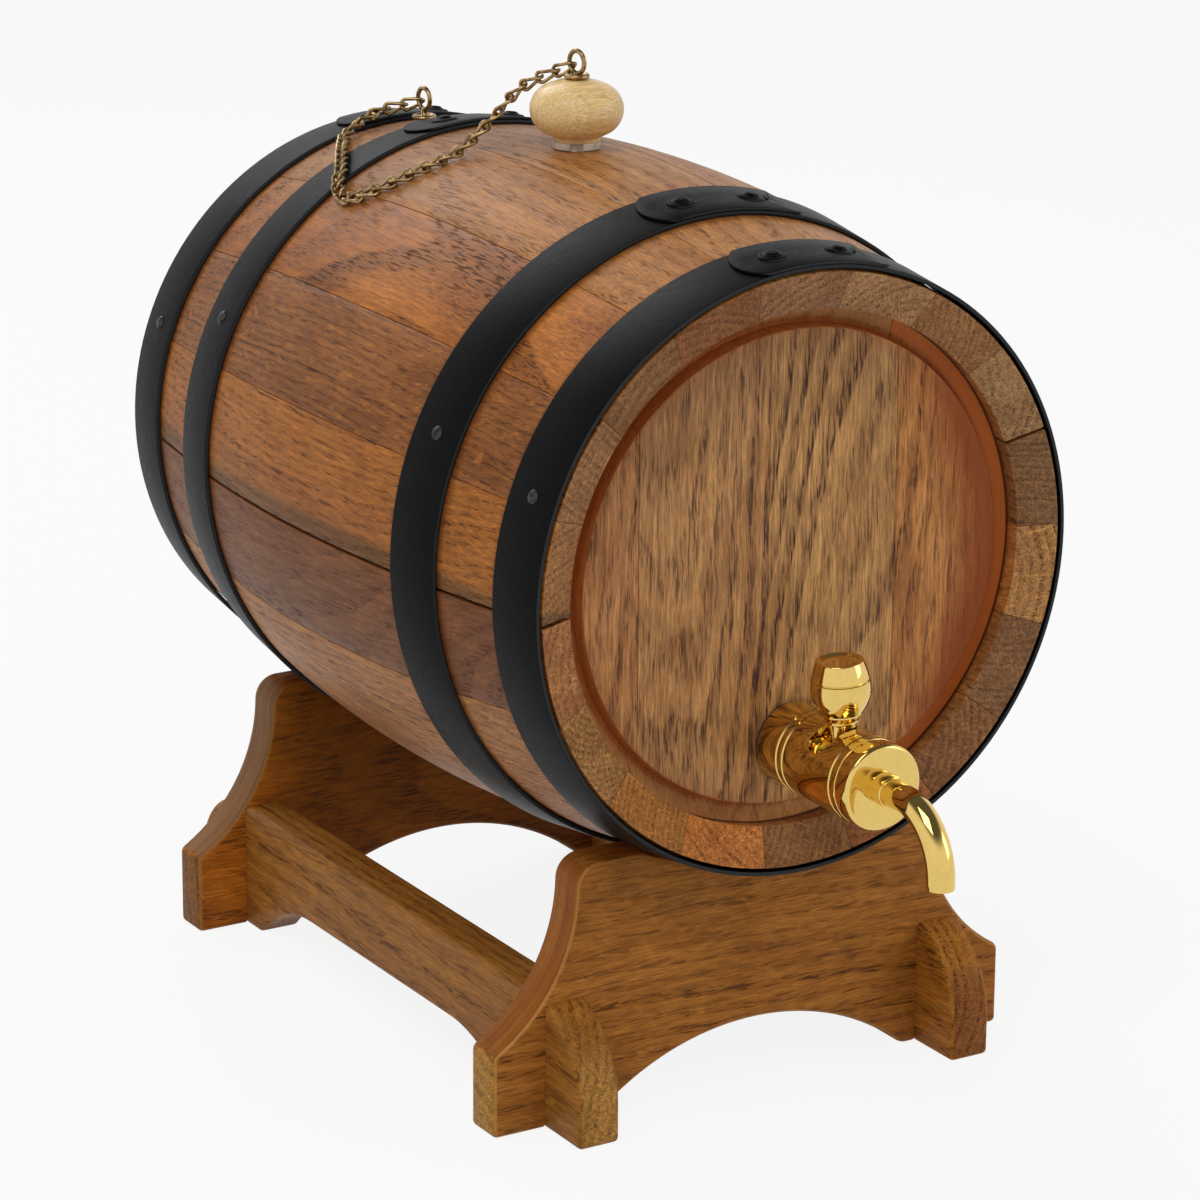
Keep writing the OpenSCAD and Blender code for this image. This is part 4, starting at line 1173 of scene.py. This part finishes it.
def curb_link():
    """One link about the origin: a ring drawn out along X and twisted."""
    alone()
    bpy.ops.mesh.primitive_torus_add(major_radius=LINK_SIDE / 1000, minor_radius=WIRE_R / 1000, major_segments=32,
                                     minor_segments=12)
    link = named("brass_chain")
    for v in link.data.vertices:
        v.co.x += (LINK_HALF - LINK_SIDE) / 1000 * (1 if v.co.x > 0 else -1)
    apply(link, "SIMPLE_DEFORM", "Curb twist", deform_method="TWIST", deform_axis="X",
          angle=math.radians(90 * (LINK_HALF + WIRE_R) / LINK_HALF))
    smooth(link, 60)
    return link


def link_places():
    """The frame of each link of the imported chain: its middle, and its length, width and thickness as axes."""
    edit(carried_copy("chain", "chain_links"))
    bpy.ops.mesh.separate(type="LOOSE")
    alone()
    for link in [o for o in bpy.context.scene.objects if o.name.startswith("chain_links")]:
        points = np.array([v.co for v in link.data.vertices])
        middle = points.mean(0)
        length_axis, width_axis = (Vector(a) for a in np.linalg.svd(points - middle)[2][:2])
        axes = Matrix((length_axis, width_axis, length_axis.cross(width_axis))).transposed()
        bpy.data.objects.remove(link)
        yield Matrix.Translation(Vector(middle)) @ axes.to_4x4()


class KEG_OT_chain(bpy.types.Operator):
    """Builds the curb chain and its two screw eyes"""

    bl_idname = "keg.chain"
    bl_label = "Chain and eyes"

    def execute(self, context):
        clean = tuple(context.scene.keg_colours.brass)
        brass = worn_finish("Aged brass", clean, tone(clean, 0.3, 0.26, 0.22), 0.75, 0.22, 0.42, grain=2200.0,
                            strength=0.2)
        for name, body in (("bung_eye", "bung"), ("anchor_eye", "barrel")):
            eye = carried_copy(name, "brass_" + name)
            smooth(eye, 60)
            dress(eye, body, brass, name)
        chain = repeated(curb_link(), link_places())
        stand_for(chain, brass, "chain")
        spot(-50, 168, 262)
        spot(-3, 136, 296)
        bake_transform(chain)
        return {"FINISHED"}


# ---- The stand ----

# Piece by piece: colour over the usual one, end grain over the side's, pith, lean, ring width, and for a
# board the colours of the rings on its flanks and how much light reaches its middle
STAND = {
    "board_front": ((1.04, 0.86, 0.62), (1.15, 1.48, 1.5), (-120, -30), 0.12, 5.5,
                    (srgb(136, 72, 20), srgb(166, 98, 34), 1.0)),
    "board_rear": ((1.12, 0.76, 0.28), (0.58, 0.72, 1.2), (60, -70), -0.1, 4.0,
                   (srgb(120, 82, 50), srgb(144, 106, 70), 0.55)),
    "rail_left": ((0.86, 0.76, 0.56), (1.32, 1.6, 2.1), (-40, 90), 0.02, 3.2, None),
    "rail_right": ((1.18, 1.0, 0.58), (0.66, 0.6, 1.0), (50, -80), 0.03, 3.0, None),
}
BOARD_Y = 32
BOARD_HALF = 7.3
RAIL_X = 67
RAIL_HALF = 7.4
HALVING_Z = 20.5
SMALLEST_STEP = 0.3


def board_marks(dark, light, lit):
    """Growth rings that run up a board's hollow flanks, its paler rounded edges, and a painted shadow of the cask
    that darkens its middle and dims those edges.
    """

    def added(colour):
        place = object_place(colour.tree)
        off = abs(split(place)[0])
        # Painted shadow of the cask: the middle darkens and turns bluish, as far as lit says little light reaches
        # it.
        colour = dyed(colour, span(off, 0.04, 0.085, 1 - lit, 0.0), (0.1, 0.1, 0.16, 1))
        rings = mixed(span(noise(stretch(place, 0, 800, 24), 1, 3, 0.6), 0.36, 0.64), dark, light)
        flank = end_mask(colour.tree, 0, 0.5) * fall(off, 0.0902, 0.0911)
        colour = mixed(flank * 0.9, colour, rings)
        # The paler rounded edges, their colour dimmed by lit as painted shade.
        faced = facing(colour.tree, 1)
        edge = span(faced, 0.45, 0.62) * fall(faced, 0.86, 0.94)
        return mixed(edge * 0.5, colour, tone(srgb(206, 154, 84), lit))

    return added


def mark_corners(piece, rail):
    """Marks the edges that are rounded: all that turn a corner, but not those inside the halvings."""
    bm = bmesh.new()
    bm.from_mesh(piece.data)
    layer = bm.edges.layers.float.new("bevel_weight_edge")
    for e in bm.edges:
        if len(e.link_faces) != 2 or e.calc_face_angle(0) < math.radians(30):
            continue
        p = (e.verts[0].co + e.verts[1].co) / 2 * 1000
        if rail:
            y = p.y + FRONT
            inside = abs(min(y, CASK_LEN - y) - BOARD_Y) < BOARD_HALF and p.z > HALVING_Z - SMALLEST_STEP
        else:
            inside = abs(abs(p.x) - RAIL_X) < RAIL_HALF and p.z < HALVING_Z + SMALLEST_STEP
        e[layer] = 0.0 if inside else 1.0
    bm.to_mesh(piece.data)
    bm.free()


class KEG_OT_stand(bpy.types.Operator):
    """Builds the stand's two boards and two rails with rounded edges"""

    bl_idname = "keg.stand"
    bl_label = "Stand"

    def execute(self, context):
        usual = tuple(context.scene.keg_colours.stand)
        for n, (name, (hue, end, pith, lean, ring, flanks)) in enumerate(STAND.items()):
            rail = flanks is None
            piece = carried_copy(name, "oak_" + name)
            edit(piece)
            bpy.ops.mesh.remove_doubles(threshold=SMALLEST_STEP / 1000)
            bpy.ops.mesh.dissolve_limited(angle_limit=math.radians(0.4))
            alone(piece)
            mark_corners(piece, rail)
            apply(piece, "BEVEL", "Rounded edges", width=context.scene.keg_sizes.stand_edge, segments=4,
                  limit_method="WEIGHT", use_clamp_overlap=False)
            board_map(piece, UP, *((BACK, RIGHT) if rail else (RIGHT, BACK)))
            smooth(piece)
            light = tone(usual, *hue)
            finish = oak_finish("Stand oak %d" % (n + 1), 1 if rail else 0, 90 + 7.1 * n, light,
                                tone(light, 0.66, 0.58, 0.46), end, gloss=0.04, square=0.88, shine=0.08,
                                extra=flanks and board_marks(*flanks), Pith_X=pith[0], Pith_Z=pith[1], Lean=lean,
                                Ring_Width=ring, Rings=0.62, Streaks=0.5, Pores=0.9, Dashes=0.7, Rays=0.2,
                                Blotches=0.4, Pore=srgb(84, 50, 22), Waver=7)
            dress(piece, "stand", finish, name)
        return {"FINISHED"}


# ---- The stage, in metres ----

WHITE = (1, 1, 1, 1)
LAMPS = {"key": (0.9, (-0.7, -0.5, 1.5)), "fill": (0.7, (1.2, -1.0, 0.7)), "back": (0.8, (0.0, 1.25, 1.2))}
LIT_SPOT = spot(0, 110, 150)
CAMERA_PLACE = (-0.722241, -1.168946, 0.560097)
CAMERA_TURN = (72.83223, -0.32607, -31.08035)


def seen(tree):
    """1 for what the camera sees, straight or in metal and glass."""
    path = node("LightPath", tree=tree).outputs
    mirrored = calc("MAXIMUM", Wire(path["Is Glossy Ray"]), Wire(path["Is Transmission Ray"]))
    return calc("MAXIMUM", Wire(path["Is Camera Ray"]), mirrored)


def show(factor, lit, shown, output):
    """Mixes a shader that is only seen over the one that gives light."""
    both = node("MixShader", factor, first_of(lit), first_of(shown))
    feed_all(factor.tree.nodes[output], Surface=first_of(both))


def pale_floor():
    finish, tree, shader = new_finish("Pale floor")
    feed_all(shader, Base_Color=(0.8, 0.8, 0.8, 1), Roughness=0.9, Specular_IOR_Level=0.1)
    show(seen(tree) * 0.88, shader, node("Emission", WHITE, tree=tree), "Material Output")
    return finish


def pale_room(strength):
    """A white room whose light is even and whose picture darkens high up, for the metal to mirror."""
    room = bpy.data.worlds.new("Studio")
    room.use_nodes = True
    tree = room.node_tree
    light = tree.nodes["Background"]
    feed_all(light, Color=WHITE, Strength=strength)
    height = split(first_of(node("TexCoord", tree=tree), "Generated"))[2]
    shown = node("Background", WHITE, span(height, 0.42, 0.75, 1.0, 0.12))
    show(seen(tree), light, shown, "World Output")
    return room


class KEG_OT_stage(bpy.types.Operator):
    """Builds the floor, the lights and the camera"""

    bl_idname = "keg.stage"
    bl_label = "Stage"

    def execute(self, context):
        stage = context.scene.keg_stage
        alone()
        bpy.ops.mesh.primitive_grid_add(x_subdivisions=8, y_subdivisions=8, size=8, location=(0, 0, 0))
        floor = named("floor")
        painted(floor, pale_floor())
        context.scene.world = pale_room(stage.sky)
        for kind, (size, place) in LAMPS.items():
            bpy.ops.object.light_add(type="AREA", location=place)
            lamp = bpy.context.object
            lamp.name = kind + "_light"
            lamp.data.energy = getattr(stage, kind)
            lamp.data.size = size
            lamp.rotation_euler = (LIT_SPOT - Vector(place)).to_track_quat("-Z", "Y").to_euler()
        bpy.ops.object.camera_add(location=CAMERA_PLACE, rotation=[math.radians(a) for a in CAMERA_TURN])
        camera = bpy.context.object
        camera.data.lens = stage.lens
        camera.data.sensor_width = 36
        camera.data.clip_start = 0.05
        camera.data.clip_end = 20
        context.scene.camera = camera
        context.scene.view_settings.view_transform = "Standard"
        return {"FINISHED"}


# ---- The add-on ----

class KEG_PT_panel(bpy.types.Panel):
    """Shows the keg's settings and the buttons that build its pieces, in the sidebar"""

    bl_idname = "KEG_PT_panel"
    bl_label = "Keg"
    bl_space_type = "VIEW_3D"
    bl_region_type = "UI"
    bl_category = "Keg"

    def draw(self, context):
        for name, cls in GROUPS.items():
            box = self.layout.box()
            for key in cls.__annotations__:
                box.prop(getattr(context.scene, name), key)
        for operator in OPERATORS:
            self.layout.operator(operator.bl_idname)


OPERATORS = (KEG_OT_finishes, KEG_OT_staves, KEG_OT_heads, KEG_OT_hoops, KEG_OT_splices, KEG_OT_tap, KEG_OT_lever,
             KEG_OT_bung, KEG_OT_chain, KEG_OT_stand, KEG_OT_stage)
GROUPS = {"keg_sizes": KegSizes, "keg_colours": KegColours, "keg_stage": KegStage}
CLASSES = (*GROUPS.values(), *OPERATORS, KEG_PT_panel)


def register():
    for cls in CLASSES:
        bpy.utils.register_class(cls)
    for name, cls in GROUPS.items():
        setattr(bpy.types.Scene, name, bpy.props.PointerProperty(type=cls))


def unregister():
    for name in GROUPS:
        delattr(bpy.types.Scene, name)
    for cls in reversed(CLASSES):
        bpy.utils.unregister_class(cls)


def main():
    register()
    for operator in OPERATORS:
        family, name = operator.bl_idname.split(".")
        if getattr(getattr(bpy.ops, family), name)() != {"FINISHED"}:
            raise RuntimeError(operator.bl_idname + " did not finish")


if __name__ == "__main__":
    main()
